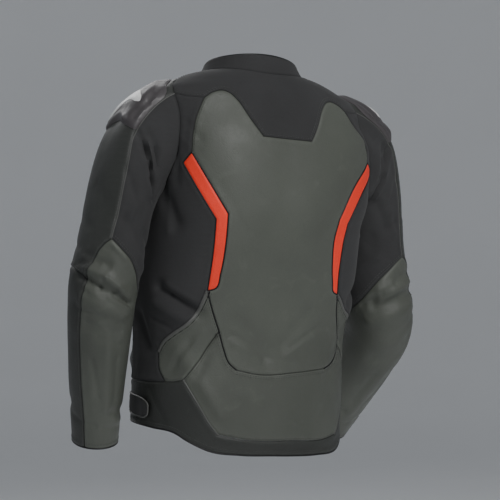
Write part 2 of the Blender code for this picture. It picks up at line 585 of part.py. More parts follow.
def inside(points, loop):
    """Which points lie inside a closed flat loop."""
    hit = np.zeros(len(points), dtype=bool)
    for (x0, y0), (x1, y1) in zip(loop, np.roll(loop, -1, axis=0)):
        crosses = (y0 > points[:, 1]) != (y1 > points[:, 1])
        if y1 != y0:
            edge = x0 + (points[:, 1] - y0) * (x1 - x0) / (y1 - y0)
            hit ^= crosses & (points[:, 0] < edge)
    return hit


def away_from(points, loop):
    """Distance from each point to a closed flat loop."""
    nearest = np.full(len(points), np.inf)
    for start, end in zip(loop, np.roll(loop, -1, axis=0)):
        run = end - start
        part = np.clip(((points - start) @ run) / max(run @ run, 1e-12), 0.0, 1.0)
        nearest = np.minimum(nearest, np.linalg.norm(points - start - part[:, None] * run, axis=1))
    return nearest


def flatten(vectors):
    return np.array([tuple(vector) for vector in vectors])


def triangles(surface, loop, marks=()):
    """Cuts the area in a loop into triangles: their (angle, along) points and their corners.

    Each mark is a closed loop inside the area that the triangles' edges follow.
    """
    flat_loop = surface.flat(loop)
    flat_marks = [surface.flat(mark) for mark in marks]
    low, high = flat_loop.min(axis=0), flat_loop.max(axis=0)
    rows = np.arange(low[1], high[1], CELL * ROW_PITCH)
    grid = np.array([(x + CELL / 2.0 * (k % 2), y) for k, y in enumerate(rows)
                     for x in np.arange(low[0], high[0], CELL)])
    keep = inside(grid, flat_loop) & (away_from(grid, flat_loop) > SEAM_CLEAR * CELL)
    for mark in flat_marks:
        keep &= away_from(grid, mark) > MARK_CLEAR * CELL
    grid = grid[keep]
    given = [loop, *marks]
    edges, count = [], len(loop)
    for mark in marks:
        edges += [(count + k, count + (k + 1) % len(mark)) for k in range(len(mark))]
        count += len(mark)
    known = np.concatenate(given)
    flat = np.concatenate([flat_loop, *flat_marks, grid])
    spread, _, faces, origin, _, _ = delaunay_2d_cdt(
        [Vector(p) for p in flat], edges, [list(range(len(loop)))], 1, 1e-6, True)
    points = surface.unflat(flatten(spread))
    for k, sources in enumerate(origin):
        for source in sources:
            if source < len(known):
                points[k] = known[source]
    faces = np.array(faces)
    return points, faces[inside(flatten(spread)[faces].mean(axis=1), flat_loop)]


def inset_seams(places, normal, faces):
    """Draws the open edge of a sheet back by half of the seam gap, and lists its edges."""
    half = {}
    for face in faces:
        for k in range(3):
            half[(face[k], face[(k + 1) % 3])] = True
    border = [edge for edge in half if (edge[1], edge[0]) not in half]
    after = {a: b for a, b in border}
    shift = np.zeros(places.shape)
    for before, here in border:
        ahead = after[here]
        first, second = places[here] - places[before], places[ahead] - places[here]
        sides = [np.cross(normal[here], run) for run in (first, second)]
        sides = [side / np.linalg.norm(side) for side in sides]
        together = max(1.0 + sides[0] @ sides[1], 0.01)
        shift[here] = (sides[0] + sides[1]) / together * (SEAM_GAP / 2.0)
    return shift, border


def solid(name, colour, surface, points, faces, low, high, normal=None):
    """A closed wall on a surface, from low to high above it, as one named object.

    Both pieces at a seam cut the narrow faces along it by the same diagonals.
    """
    places = surface.point(points[:, 0], points[:, 1])
    if normal is None:
        normal = surface.normal(points[:, 0], points[:, 1])
    a, b, c = (places[faces[:, k]] for k in range(3))
    if np.sum(np.cross(b - a, c - a) * normal[faces[:, 0]]) < 0.0:
        faces = faces[:, ::-1]
    shift, border = inset_seams(places, normal, faces)
    low, high = (np.broadcast_to(value, len(points))[:, None] for value in (low, high))
    outer = places + shift + normal * high
    inner = places + shift + normal * low
    count = len(points)
    sides = []
    for a, b in border:
        if tuple(places[a].round(7)) < tuple(places[b].round(7)):
            sides += [(b, a, b + count), (a, a + count, b + count)]
        else:
            sides += [(b, a, a + count), (b, a + count, b + count)]
    body = [tuple(int(v) for v in face) for face in faces]
    back = [(c + count, b + count, a + count) for a, b, c in body]
    mesh = bpy.data.meshes.new(name)
    mesh.from_pydata(np.concatenate([outer, inner]).tolist(), [],
                     body + back + [tuple(int(v) for v in side) for side in sides])
    return finish(name, mesh, colour)


def finish(name, mesh, colour):
    mesh.update()
    mesh.shade_smooth()
    mesh.set_sharp_from_angle(angle=math.radians(SHARP_ANGLE))
    item = bpy.data.objects.new(name, mesh)
    bpy.context.scene.collection.objects.link(item)
    item.data.materials.append(material(*colour))
    return item


def material(name, colour, roughness, metallic):
    """The named material, made on first use."""
    made = bpy.data.materials.get(name)
    if made is None:
        made = bpy.data.materials.new(name)
        made.use_nodes = True
        shader = made.node_tree.nodes["Principled BSDF"]
        shader.inputs["Base Color"].default_value = (*colour, 1.0)
        shader.inputs["Roughness"].default_value = roughness
        shader.inputs["Metallic"].default_value = metallic
    return made


GREY_LEATHER = ("grey_leather", (0.090, 0.096, 0.084), 0.48, 0.0)
BLACK_LEATHER = ("black_leather", (0.032, 0.033, 0.032), 0.45, 0.0)
STRETCH = ("black_stretch", (0.026, 0.026, 0.027), 0.85, 0.0)
RED_LEATHER = ("red_leather", (0.900, 0.070, 0.035), 0.45, 0.0)
CUP_PLASTIC = ("protector_plastic", (0.115, 0.105, 0.112), 0.38, 0.0)
LIGHT_INSERT = ("light_insert", (0.700, 0.700, 0.690), 0.40, 0.0)
ZIP_TAPE = ("zip_tape", (0.020, 0.020, 0.021), 0.70, 0.0)
ZIP_METAL = ("zip_metal", (0.120, 0.120, 0.125), 0.35, 0.9)

# Trunk pieces.  Columns: name, material, seams round the piece in order; a minus runs backwards.
TRUNK_PIECES = (
    ("yoke", STRETCH, "neck_back_left shoulder_left arm_yoke_left -yoke_arm_left lobe_left "
     "yoke_foot -lobe_right yoke_arm_right -arm_yoke_right -shoulder_right -neck_back_right"),
    ("back_panel", GREY_LEATHER, "-lobe_left back_edge_left stripe_inner_upper_left "
     "stripe_inner_lower_left back_lower_left back_corner_left back_foot -back_corner_right "
     "-back_lower_right -stripe_inner_lower_right -stripe_inner_upper_right -back_edge_right "
     "lobe_right -yoke_foot"),
    ("lumbar_panel", GREY_LEATHER, "back_corner_left back_foot -back_corner_right "
     "side_lumbar_right lumbar_corner_right -lumbar_foot -lumbar_corner_left "
     "-side_lumbar_left"),
    ("hem_band", BLACK_LEATHER, "-hem_front_left -hem_black_left -hem_grey_left "
     "lumbar_corner_left lumbar_foot -lumbar_corner_right hem_grey_right hem_black_right "
     "hem_front_right -front_foot_right hem_edge_right -hem_edge_left front_foot_left"),
)
# Trunk pieces made on each side; SIDE stands for left or right.
SIDE_PIECES = (
    ("stripe", RED_LEATHER, "stripe_end_SIDE stripe_outer_upper_SIDE stripe_outer_lower_SIDE "
     "-stripe_inner_lower_SIDE -stripe_inner_upper_SIDE"),
    ("back_side", STRETCH, "yoke_arm_SIDE arm_back_SIDE side_seam_SIDE -hem_black_SIDE "
     "-side_lower_SIDE -side_upper_SIDE -stripe_outer_lower_SIDE -stripe_outer_upper_SIDE "
     "-stripe_end_SIDE -back_edge_SIDE"),
    ("lower_side", GREY_LEATHER, "back_lower_SIDE side_lumbar_SIDE hem_grey_SIDE "
     "-side_lower_SIDE -side_upper_SIDE"),
    ("front", BLACK_LEATHER, "neck_front_SIDE -front_edge_SIDE -hem_front_SIDE "
     "-side_seam_SIDE arm_front_SIDE -shoulder_SIDE"),
)


def blend_normals(own, other):
    """Shares the wall's edge between two surfaces that meet, except in a sharp valley."""
    total = own + other
    facing = np.sum(own * other, axis=-1, keepdims=True) > VALLEY
    return np.where(facing, total / np.linalg.norm(total, axis=-1, keepdims=True), own)


def trunk_normals(points):
    """Normals of trunk points, with those on an armhole shared with the sleeve."""
    normal = TRUNK_SURFACE.normal(points[:, 0], points[:, 1])
    for side, sleeve in SLEEVES.items():
        for turn in range(0, 360, ARMHOLE_STEP):
            near = np.abs(points - np.array(armhole(float(turn), side))).max(axis=1) < 1e-6
            if near.any():
                normal[near] = blend_normals(normal[near], sleeve.normal(float(turn), 0.0))
    return normal


def sleeve_normals(points, side):
    """Normals of sleeve points, with those on the armhole shared with the trunk."""
    normal = SLEEVES[side].normal(points[:, 0], points[:, 1])
    edge = points[:, 1] < 1e-9
    other = TRUNK_SURFACE.normal(*armhole(points[edge, 0], side))
    normal[edge] = blend_normals(normal[edge], other)
    return normal


def part_of(points, faces, surface, mark):
    """The triangles inside a mark, with only their own points: indices and renumbered faces."""
    flat = surface.flat(points)
    chosen = faces[inside(flat[faces].mean(axis=1), surface.flat(mark))]
    used, numbers = np.unique(chosen, return_inverse=True)
    return used, numbers.reshape(chosen.shape)


def closed_curve(points, surface):
    """Points round a closed outline whose corners are kept."""
    runs = [smooth_curve((start, end), surface, OUTLINE_STEP)[:-1]
            for start, end in zip(points, np.roll(points, -1, axis=0))]
    return np.concatenate(runs)


def rounded(points):
    """Cuts the corners of a closed outline once."""
    points = np.asarray(points, dtype=float)
    ahead = np.roll(points, -1, axis=0)
    cuts = [points + (ahead - points) * share for share in (CORNER_CUT, 1.0 - CORNER_CUT)]
    return np.stack(cuts, axis=1).reshape(-1, 2)


def trunk_piece(name, colour, names, seams):
    points, faces = triangles(TRUNK_SURFACE, outline(seams, *names.split()))
    solid(name, colour, TRUNK_SURFACE, points, faces, -WALL, 0.0, trunk_normals(points))


def build_hem_band(name, colour, names, seams):
    """The hem band with a waist tab on each side, whose points are the band's own, moved out."""
    tabs = {side: closed_curve(rounded(TAB_OUTLINE) * np.array([side, 1.0]), TRUNK_SURFACE)
            for side in SIDE_NAMES}
    loop = outline(seams, *names.split())
    points, faces = triangles(TRUNK_SURFACE, loop, tuple(tabs.values()))
    normal = trunk_normals(points)
    solid(name, colour, TRUNK_SURFACE, points, faces, -WALL, 0.0, normal)
    rear = TAB_OUTLINE[0][0]
    for side, word in SIDE_NAMES.items():
        used, own = part_of(points, faces, TRUNK_SURFACE, tabs[side])
        lift = TAB_LIFT * (1.0 - smoothstep(np.abs(points[used, 0]), rear, rear + TAB_BEND))
        low = SEAM_GAP + lift
        solid(f"waist_tab_{word}", STRETCH, TRUNK_SURFACE, points[used], own, low,
              low + TAB_THICKNESS, normal[used])


def build_trunk():
    seams = trunk_seams()
    for name, colour, names in TRUNK_PIECES:
        make = build_hem_band if name == "hem_band" else trunk_piece
        make(name, colour, names, seams)
    for word in SIDE_NAMES.values():
        for name, colour, names in SIDE_PIECES:
            trunk_piece(f"{name}_{word}", colour, names.replace("SIDE", word), seams)
    return seams


def build_collar(seams):
    turns = np.concatenate([seams["neck_front_left"][::-1, 0], seams["neck_back_left"][-2::-1, 0],
                            seams["neck_back_right"][1:, 0], seams["neck_front_right"][1:, 0]])
    base = np.column_stack([turns, np.zeros(len(turns))])
    top = np.column_stack([turns[::-1], np.ones(len(turns))])
    rise = np.linspace(0.0, 1.0, COLLAR_ROWS + 1)[1:-1]
    ends = [np.column_stack([np.full(len(rise), turns[-1]), rise]),
            np.column_stack([np.full(len(rise), turns[0]), rise[::-1]])]
    points, faces = triangles(COLLAR_SURFACE, np.concatenate([base, ends[0], top, ends[1]]))
    solid("collar", STRETCH, COLLAR_SURFACE, points, faces, -COLLAR_WALL, 0.0)


def build_zip():
    """The closed front zip: a strip between the fronts that runs on up the collar's edges."""
    heights = np.linspace(LEFT_SEAMS["hem_edge"][0][1], 0.0, ZIP_STEPS + 1)
    shares = np.linspace(0.0, 1.0, ZIP_COLLAR_STEPS + 1)[1:]
    edges, facing = [], []
    for side in SIDE_NAMES:
        edge = zip_edge(heights, side)
        turn = np.full(len(shares), edge[-1, 0])
        edges.append(np.concatenate([TRUNK_SURFACE.point(edge[:, 0], edge[:, 1]),
                                     COLLAR_SURFACE.point(turn, shares)]))
        facing.append(np.concatenate([TRUNK_SURFACE.normal(edge[:, 0], edge[:, 1]),
                                      COLLAR_SURFACE.normal(turn, shares)]))
    left, right = edges
    across = (left - right) / np.linalg.norm(left - right, axis=1, keepdims=True)
    out = facing[0] + facing[1]
    out -= across * np.sum(out * across, axis=1, keepdims=True)
    out /= np.linalg.norm(out, axis=1, keepdims=True)
    trim = across * (SEAM_GAP / 2.0)
    corners = [left - trim, right + trim, right + trim - out * ZIP_THICKNESS,
               left - trim - out * ZIP_THICKNESS]
    rows = np.stack(corners, axis=1).reshape(-1, 3)
    count = len(left)
    faces = [(4 * k + 4 + j, 4 * k + 4 + (j + 1) % 4, 4 * k + (j + 1) % 4, 4 * k + j)
             for k in range(count - 1) for j in range(4)]
    faces += [(0, 1, 2, 3), tuple(4 * count - 1 - j for j in range(4))]
    mesh = bpy.data.meshes.new("front_zip")
    mesh.from_pydata(rows.tolist(), [], faces)
    finish("front_zip", mesh, ZIP_TAPE)
    return 0.5 * (left[-2] + right[-2])


def block(name, colour, size, centre, origin):
    """A box by its size and centre, whose object's origin is given."""
    half = np.array(size) / 2.0
    signs = np.array([(x, y, z) for x in (-1, 1) for y in (-1, 1) for z in (-1, 1)])
    corners = np.array(centre) - np.array(origin) + signs * half
    faces = [(0, 1, 3, 2), (4, 6, 7, 5), (0, 4, 5, 1), (2, 3, 7, 6), (0, 2, 6, 4), (1, 5, 7, 3)]
    mesh = bpy.data.meshes.new(name)
    mesh.from_pydata(corners.tolist(), [], faces)
    item = finish(name, mesh, colour)
    item.location = origin
    return item


def build_slider(seat):
    """The slider near the top of the zip, and the pull tab that hangs from it by its hinge."""
    width, depth, height = SLIDER
    centre = seat - np.array([0.0, SEAM_GAP + depth / 2.0, 0.0])
    block("zip_slider", ZIP_METAL, SLIDER, centre, tuple(centre))
    hinge = centre + np.array([0.0, -depth / 2.0 - PULL_GAP - PULL[1] / 2.0,
                               height / 2.0 - PULL_DROP])
    middle = hinge + np.array([0.0, 0.0, PULL[1] / 2.0 - PULL[2] / 2.0])
    block("zip_pull", ZIP_METAL, PULL, middle, tuple(hinge))


def sleeve_seams(sleeve):
    table = SLEEVE_SEAMS if sleeve.side > 0 else SLEEVE_SEAMS | RIGHT_SLEEVE_SEAMS
    seams = {name: smooth_curve(points, sleeve) for name, points in table.items()}
    start, end = OUTER_MEETS
    for name, first, last in (("arm_outer", end, start), ("arm_back", start, end + 360)):
        turns = armhole_run(first, last)
        seams[name] = np.column_stack([turns, np.zeros(len(turns))])
    cuff_edge, cuff_under = SLEEVE_SEAMS["forearm_edge"][-1][0], SLEEVE_SEAMS["under"][-1][0]
    for name, first, last in (("cuff_grey", cuff_under + 360.0, cuff_edge),
                              ("cuff_dark", cuff_edge, cuff_under)):
        turns = np.linspace(first, last, CUFF_STEPS + 1)
        seams[name] = np.column_stack([turns, np.ones(len(turns))])
    for name in ("front", "inner_foot", "under"):
        seams[name + "_round"] = seams[name] + np.array([360.0, 0.0])
    return seams


SLEEVE_PIECES = (
    ("sleeve_outer", BLACK_LEATHER, "arm_outer outer_back elbow_edge outer_foot -front"),
    ("sleeve_back", STRETCH, "arm_back front_round inner_foot_round -elbow_top -outer_back"),
    ("sleeve_elbow", GREY_LEATHER, "elbow_top under_round cuff_grey -forearm_edge -elbow_edge"),
    ("sleeve_strip", BLACK_LEATHER, "forearm_edge cuff_dark -under -inner_foot -outer_foot"),
)


def build_sleeve(side):
    word, sleeve = SIDE_NAMES[side], SLEEVES[side]
    seams = sleeve_seams(sleeve)
    cup = closed_curve(rounded(CUP_OUTLINE), sleeve)
    insert = closed_curve(rounded(INSERT_OUTLINE), sleeve)
    for name, colour, names in SLEEVE_PIECES:
        marks = (cup, insert) if name == "sleeve_outer" else ()
        points, faces = triangles(sleeve, outline(seams, *names.split()), marks)
        normal = sleeve_normals(points, side)
        solid(f"{name}_{word}", colour, sleeve, points, faces, -WALL, 0.0, normal)
        if marks:
            build_cup(side, sleeve, points, faces, normal, cup, insert)


def build_cup(side, sleeve, points, faces, normal, cup, insert):
    """The shoulder protector and its insert, from the points of the sleeve below, moved out."""
    word = SIDE_NAMES[side]
    flat = sleeve.flat(points)
    depth = away_from(flat, sleeve.flat(cup))
    top = SEAM_GAP + CUP_EDGE + CUP_CROWN * smoothstep(depth, 0.0, CUP_DOME)
    used, own = part_of(points, faces, sleeve, cup)
    solid(f"shoulder_cup_{word}", CUP_PLASTIC, sleeve, points[used], own, SEAM_GAP, top[used],
          normal[used])
    used, own = part_of(points, faces, sleeve, insert)
    low = top[used] + SEAM_GAP
    solid(f"cup_insert_{word}", LIGHT_INSERT, sleeve, points[used], own, low,
          low + INSERT_THICKNESS, normal[used])


def main():
    for item in list(bpy.data.objects):
        bpy.data.objects.remove(item, do_unlink=True)
    seams = build_trunk()
    build_collar(seams)
    build_slider(build_zip())
    for side in SIDE_NAMES:
        build_sleeve(side)


main()
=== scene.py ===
import json
import math

import bpy
import numpy as np
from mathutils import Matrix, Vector, kdtree, noise
from mathutils.geometry import delaunay_2d_cdt


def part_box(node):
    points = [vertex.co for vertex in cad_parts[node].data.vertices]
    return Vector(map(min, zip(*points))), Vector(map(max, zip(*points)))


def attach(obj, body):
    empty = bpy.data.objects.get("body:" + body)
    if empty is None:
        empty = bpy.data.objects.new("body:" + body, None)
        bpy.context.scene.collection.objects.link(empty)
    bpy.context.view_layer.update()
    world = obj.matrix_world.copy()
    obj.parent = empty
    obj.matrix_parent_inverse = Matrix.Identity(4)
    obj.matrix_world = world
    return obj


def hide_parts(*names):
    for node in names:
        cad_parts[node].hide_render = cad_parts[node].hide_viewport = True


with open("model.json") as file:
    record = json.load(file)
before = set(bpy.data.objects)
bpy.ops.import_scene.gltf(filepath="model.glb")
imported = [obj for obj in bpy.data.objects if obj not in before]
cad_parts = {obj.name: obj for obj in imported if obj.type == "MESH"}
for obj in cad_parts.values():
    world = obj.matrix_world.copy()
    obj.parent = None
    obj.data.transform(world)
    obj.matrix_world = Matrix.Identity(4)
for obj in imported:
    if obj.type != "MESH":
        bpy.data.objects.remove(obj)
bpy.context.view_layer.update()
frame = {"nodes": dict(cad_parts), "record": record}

WALL = 0.0016  # thickness of the leather and stretch cloth
SEAM_GAP = 0.0003  # clear distance between two pieces at a seam
CELL = 0.0048  # distance between the points of a panel
# Shares of that distance in the creased pieces.
FINER = {"sleeve_elbow": 0.62, "sleeve_outer": 0.75, "sleeve_back": 0.7, "back_side": 0.75}
ROW_PITCH = 0.866  # distance between rows of these points, in cells
SEAM_STEP = 0.004  # distance between the points of a seam
RINGS = (0.0009, 0.0026, 0.0055)  # rows of points that follow each seam, by distance
RING_STEP = (0.003, 0.7)  # distance between the points of such a row: at least, and in cells
RING_KEPT = 0.93  # share of the row's distance that each of its points keeps
GRID_CLEAR = 0.5  # clear distance from these rows to the other points, in cells
MARK_CLEAR = 0.0015  # clear distance from points to an outline within the piece
FIELD_STEP = 0.0006  # step along an outline from which distances to it are measured
FLAT_TURN = 3  # degrees between the turns tried for a piece's smallest rectangle
SLOPE_STEPS = (0.3, 0.002)  # degrees, and share of the length, over which a slope is measured
ARM_STEP = 0.002  # length over which the arm's direction is measured
PAPER_STEPS = 1400  # steps in which the trunk's length on paper is added up
CURVE_STEPS = 60  # steps in which a seam's length is added up, for each of its points
SHARP_ANGLE = 50  # edges sharper than this are not shaded smooth
VALLEY = 0.2  # walls that face apart by more than this cosine don't share an edge

# Trunk sections from below the hem up to the neck seam.
# Columns: height, half_width, depth_back, depth_front, centre_y, squareness
TRUNK = (
    (-0.66, 0.179, 0.126, 0.118, 0, 2.5),
    (-0.6, 0.178, 0.128, 0.119, 0, 2.5),
    (-0.52, 0.178, 0.129, 0.12, -0.001, 2.5),
    (-0.43, 0.18, 0.126, 0.119, -0.004, 2.5),
    (-0.35, 0.191, 0.129, 0.123, -0.002, 2.5),
    (-0.28, 0.188, 0.134, 0.128, 0.001, 2.6),
    (-0.21, 0.184, 0.136, 0.129, 0.002, 2.6),
    (-0.14, 0.186, 0.129, 0.12, 0.002, 2.5),
    (-0.08, 0.188, 0.112, 0.106, 0, 2.4),
    (-0.04, 0.184, 0.096, 0.092, -0.002, 2.3),
    (-0.022, 0.166, 0.087, 0.086, -0.003, 2.2),
    (-0.011, 0.137, 0.079, 0.081, -0.004, 2.1),
    (-0.004, 0.111, 0.073, 0.076, -0.005, 2),
    (0, 0.09, 0.068, 0.072, -0.006, 2),
)
SHOULDER_TILT = 0.1  # rise of the left shoulder over the right, per metre of width
TILT_HEIGHTS = (-0.4, -0.1)  # the tilt grows from none to full between these heights
LEAN = 0.034  # sideways shift of the hem against the shoulders
LEAN_HEIGHTS = (-0.62, -0.06)  # the shift shrinks to nothing between these heights
NECK_SLOPE = 0.24  # fall of the neck seam towards the front, per metre of depth
NECK_LEVEL = 0.062  # distance behind the origin where that slope starts from no fall
NECK_HEIGHTS = (-0.09, 0)  # the fall grows from none to full between these heights
NECK_RISE = 0.01  # rise of the neck seam at the shoulders
RISE_HEIGHTS = (-0.024, 0)  # that rise grows from none to full between these heights

# Armhole: an upright oval round the side of the trunk.
ARMHOLE_MIDDLE = -0.11
ARMHOLE_HALF_HEIGHT = 0.099
ARMHOLE_HALF_ANGLE = 21
ARMHOLE_STEP = 2  # degrees between the points of the armhole seam
YOKE_MEETS = 50  # degrees round the armhole where the yoke ends and the back begins
YOKE_ARM_MIDDLE = (67, -0.0505)  # point of the seam from the yoke's lobe to the armhole

# Sleeve sections along the arm, from the end of the cap to the cuff.
# Columns: x (outwards), y, z, half_width, half_depth
SLEEVE_LEFT = (
    (0.2525, 0, -0.235, 0.0525, 0.066),
    (0.2675, 0.006, -0.29, 0.054, 0.064),
    (0.2795, 0.008, -0.335, 0.0555, 0.06),
    (0.282, 0.002, -0.38, 0.054, 0.057),
    (0.2785, -0.014, -0.44, 0.05, 0.053),
    (0.272, -0.036, -0.52, 0.044, 0.046),
    (0.264, -0.058, -0.6, 0.0375, 0.039),
)
SLEEVE_RIGHT = (
    (0.239, -0.028, -0.24, 0.057, 0.067),
    (0.241, -0.021, -0.31, 0.0565, 0.064),
    (0.248, -0.012, -0.375, 0.058, 0.064),
    (0.26, -0.026, -0.432, 0.0565, 0.061),
    (0.26, -0.07, -0.488, 0.051, 0.055),
    (0.252, -0.118, -0.547, 0.0445, 0.047),
    (0.24, -0.168, -0.612, 0.0375, 0.039),
)
CAP_LENGTH = 0.15  # the part of the sleeve that blends the armhole into the arm
# Pull of the shoulder's slope and of the arm's direction on each cap, as shares of its chord.
CAP_PULL = {1: (1.3, 1.1), -1: (1.28, 1.38)}
CAP_OUT = (0.72, 0.22)  # outward slope of the cap at the armhole: mean, and more at its top
CAP_UP = (-0.55, 0.35)  # upward slope of the cap at the armhole: mean, and more at its top
CAP_PAPER = (0.16, 0.11)  # flat length of the cap: mean, and more at its top

# Cut of the trunk pieces: (angle, height) points on the left side, mirrored for the right.
# A smooth curve runs through the points of each row.
LEFT_SEAMS = {
    "lobe": ((59, -0.052), (55.5, -0.0425), (51, -0.0385), (46, -0.0415), (40, -0.052),
             (31, -0.077), (21, -0.105)),
    "back_edge": ((59, -0.052), (61.5, -0.083), (62.3, -0.115), (62, -0.14)),
    "stripe_end": ((62, -0.14), (66.5, -0.158)),
    "stripe_outer_upper": ((66.5, -0.158), (47, -0.24)),
    "stripe_outer_lower": ((47, -0.24), (47.3, -0.29), (48.8, -0.35)),
    "stripe_inner_upper": ((62, -0.14), (40.7, -0.231)),
    "stripe_inner_lower": ((40.7, -0.231), (41, -0.278), (42.5, -0.322), (44.5, -0.346),
                           (48.8, -0.35)),
    "back_lower": ((48.8, -0.35), (45.6, -0.38), (41, -0.415)),
    "back_corner": ((41, -0.415), (37.5, -0.445), (34, -0.466), (29, -0.478)),
    "side_upper": ((48.8, -0.35), (50.4, -0.364), (53, -0.383), (58, -0.402),
                   (66, -0.42), (71.5, -0.434), (74.6, -0.45)),
    "side_lower": ((74.6, -0.45), (74, -0.475), (69.5, -0.497)),
    "side_lumbar": ((41, -0.415), (46.8, -0.44), (52, -0.466), (56.5, -0.484),
                    (59, -0.493)),
    "hem_grey": ((59, -0.493), (64, -0.496), (69.5, -0.497)),
    "hem_black": ((69.5, -0.497), (85, -0.499), (102, -0.5)),
    "hem_front": ((102, -0.5), (130, -0.508), (155, -0.514), (176, -0.516)),
    "lumbar_corner": ((59, -0.493), (51, -0.53), (43, -0.568), (39, -0.582)),
    "side_seam": ((90, -0.209), (93, -0.26), (98, -0.34), (101, -0.42),
                  (102, -0.5)),
    "hem_edge": ((176, -0.566), (155, -0.566), (130, -0.567), (100, -0.57),
                 (78, -0.573), (64, -0.578), (55, -0.593), (44, -0.608),
                 (25, -0.616), (0, -0.62)),
}
# Seams with a run of their own on the right side.
RIGHT_SEAMS = {
    "back_edge": ((-59, -0.052), (-63.5, -0.083), (-65, -0.11), (-63.5, -0.133)),
    "stripe_end": ((-63.5, -0.133), (-69.5, -0.146)),
    "stripe_outer_upper": ((-69.5, -0.146), (-56.5, -0.183), (-45.8, -0.24)),
    "stripe_outer_lower": ((-45.8, -0.24), (-44.2, -0.272), (-44.6, -0.312), (-47.2, -0.363)),
    "stripe_inner_upper": ((-63.5, -0.133), (-50, -0.173), (-38.6, -0.233)),
    "stripe_inner_lower": ((-38.6, -0.233), (-36.4, -0.268), (-38, -0.308), (-41.2, -0.34),
                           (-43.4, -0.358), (-47.2, -0.363)),
    "back_lower": ((-47.2, -0.363), (-50, -0.4), (-55, -0.436)),
    "back_corner": ((-55, -0.436), (-56, -0.456), (-51, -0.475), (-42, -0.484)),
    "side_upper": ((-47.2, -0.363), (-50.5, -0.372), (-56, -0.388), (-64, -0.406),
                   (-72, -0.422), (-79, -0.436), (-82, -0.452)),
    "side_lower": ((-82, -0.452), (-82.5, -0.476), (-80, -0.498)),
    "side_lumbar": ((-55, -0.436), (-61, -0.456), (-66.5, -0.475), (-71, -0.495)),
    "hem_grey": ((-71, -0.495), (-75.5, -0.4975), (-80, -0.498)),
    "hem_black": ((-80, -0.498), (-90, -0.499), (-102, -0.5)),
    "lumbar_corner": ((-71, -0.495), (-66.5, -0.535), (-60, -0.577), (-54, -0.596)),
    "hem_edge": ((-176, -0.566), (-155, -0.566), (-130, -0.567), (-100, -0.572),
                 (-80, -0.584), (-68, -0.605), (-56, -0.622), (-37, -0.6245),
                 (-20, -0.623), (0, -0.62)),
}
# Seams that cross the centre back, from left to right.
CROSS_SEAMS = {
    "yoke_foot": ((21, -0.105), (-21, -0.105)),
    "back_foot": ((29, -0.478), (16, -0.4855), (-20, -0.4865), (-42, -0.484)),
    "lumbar_foot": ((39, -0.582), (24, -0.5905), (-20, -0.598), (-42, -0.6005),
                    (-54, -0.596)),
}
ZIP_HALF_WIDTH = 0.0075  # from the centre front to the edge of each front
ZIP_STEPS = 35  # steps along the zip up to the neck seam
NECK_STEPS = 30  # steps along each quarter of the neck seam

# Cut of the sleeve pieces: (angle, share) points.
SLEEVE_SEAMS = {
    "outer_back": ((50, 0), (53, 0.08), (53, 0.12), (58, 0.17), (59.5, 0.24),
                   (57, 0.364)),
    "elbow_top": ((57, 0.364), (76, 0.385), (96, 0.408), (120, 0.442), (150, 0.5),
                  (200, 0.54)),
    "elbow_edge": ((57, 0.364), (46, 0.385), (36, 0.43), (30, 0.48)),
    "forearm_edge": ((30, 0.48), (25, 0.58), (27, 0.74), (33, 0.88), (35, 1)),
    "outer_foot": ((30, 0.48), (-20, 0.455), (-80, 0.47)),
    "inner_foot": ((-80, 0.47), (-120, 0.5), (-160, 0.54)),
    "front": ((-80, 0), (-80, 0.15), (-78, 0.3), (-80, 0.47)),
    "under": ((-160, 0.54), (-160, 0.75), (-160, 1)),
}
# Seams that run lower on the right sleeve, whose elbow is bent more.
RIGHT_SLEEVE_SEAMS = {
    "outer_back": ((50, 0), (53, 0.08), (53, 0.12), (58, 0.17), (60, 0.25),
                   (58, 0.402)),
    "elbow_top": ((58, 0.402), (72, 0.414), (94, 0.437), (116, 0.457), (150, 0.492),
                  (200, 0.54)),
    "elbow_edge": ((58, 0.402), (47, 0.414), (37, 0.44), (30, 0.48)),
}
OUTER_MEETS = (50, -80)  # degrees round the armhole where the outer sleeve piece ends
CUFF_STEPS = 40  # steps along each of the two seams' ends round the cuff

# Folds of the trunk, raised above (+) or sunk below (-) its smooth surface.
# Columns: angle_from, height_from, angle_to, height_to, half_width, rise
TRUNK_FOLDS = (
    (0, -0.15, 0, -0.42, 0.034, -0.0016),
    (37, -0.14, 33, -0.21, 0.052, 0.0012),
    (-37, -0.14, -33, -0.21, 0.052, 0.0012),
    (-68, -0.12, -66, -0.19, 0.05, 0.013),
    (74, -0.345, 53, -0.384, 0.01, -0.0065),
    (76, -0.372, 60, -0.396, 0.01, 0.004),
    (-76, -0.35, -62, -0.38, 0.011, -0.0055),
    (-76, -0.378, -62, -0.398, 0.01, 0.0045),
    (84, -0.18, 68, -0.25, 0.012, -0.006),
    (-84, -0.18, -68, -0.245, 0.012, -0.0065),
    (44, -0.425, 52, -0.485, 0.009, -0.004),
    (62, -0.445, 40, -0.545, 0.014, 0.0035),
    (-60, -0.44, -44, -0.5, 0.012, -0.0035),
    (30, -0.4, 8, -0.455, 0.016, -0.003),
    (-28, -0.385, -6, -0.44, 0.016, -0.003),
    (92, -0.395, 84, -0.44, 0.012, -0.006),
    (-94, -0.39, -84, -0.436, 0.012, -0.006),
    (158, -0.4, 118, -0.43, 0.014, -0.006),
    (-154, -0.385, -116, -0.425, 0.014, -0.006),
    (150, -0.455, 112, -0.47, 0.013, 0.0045),
    (-150, -0.45, -114, -0.472, 0.013, 0.0045),
    (112, -0.19, 138, -0.24, 0.014, -0.006),
    (-112, -0.19, -136, -0.245, 0.014, -0.006),
)
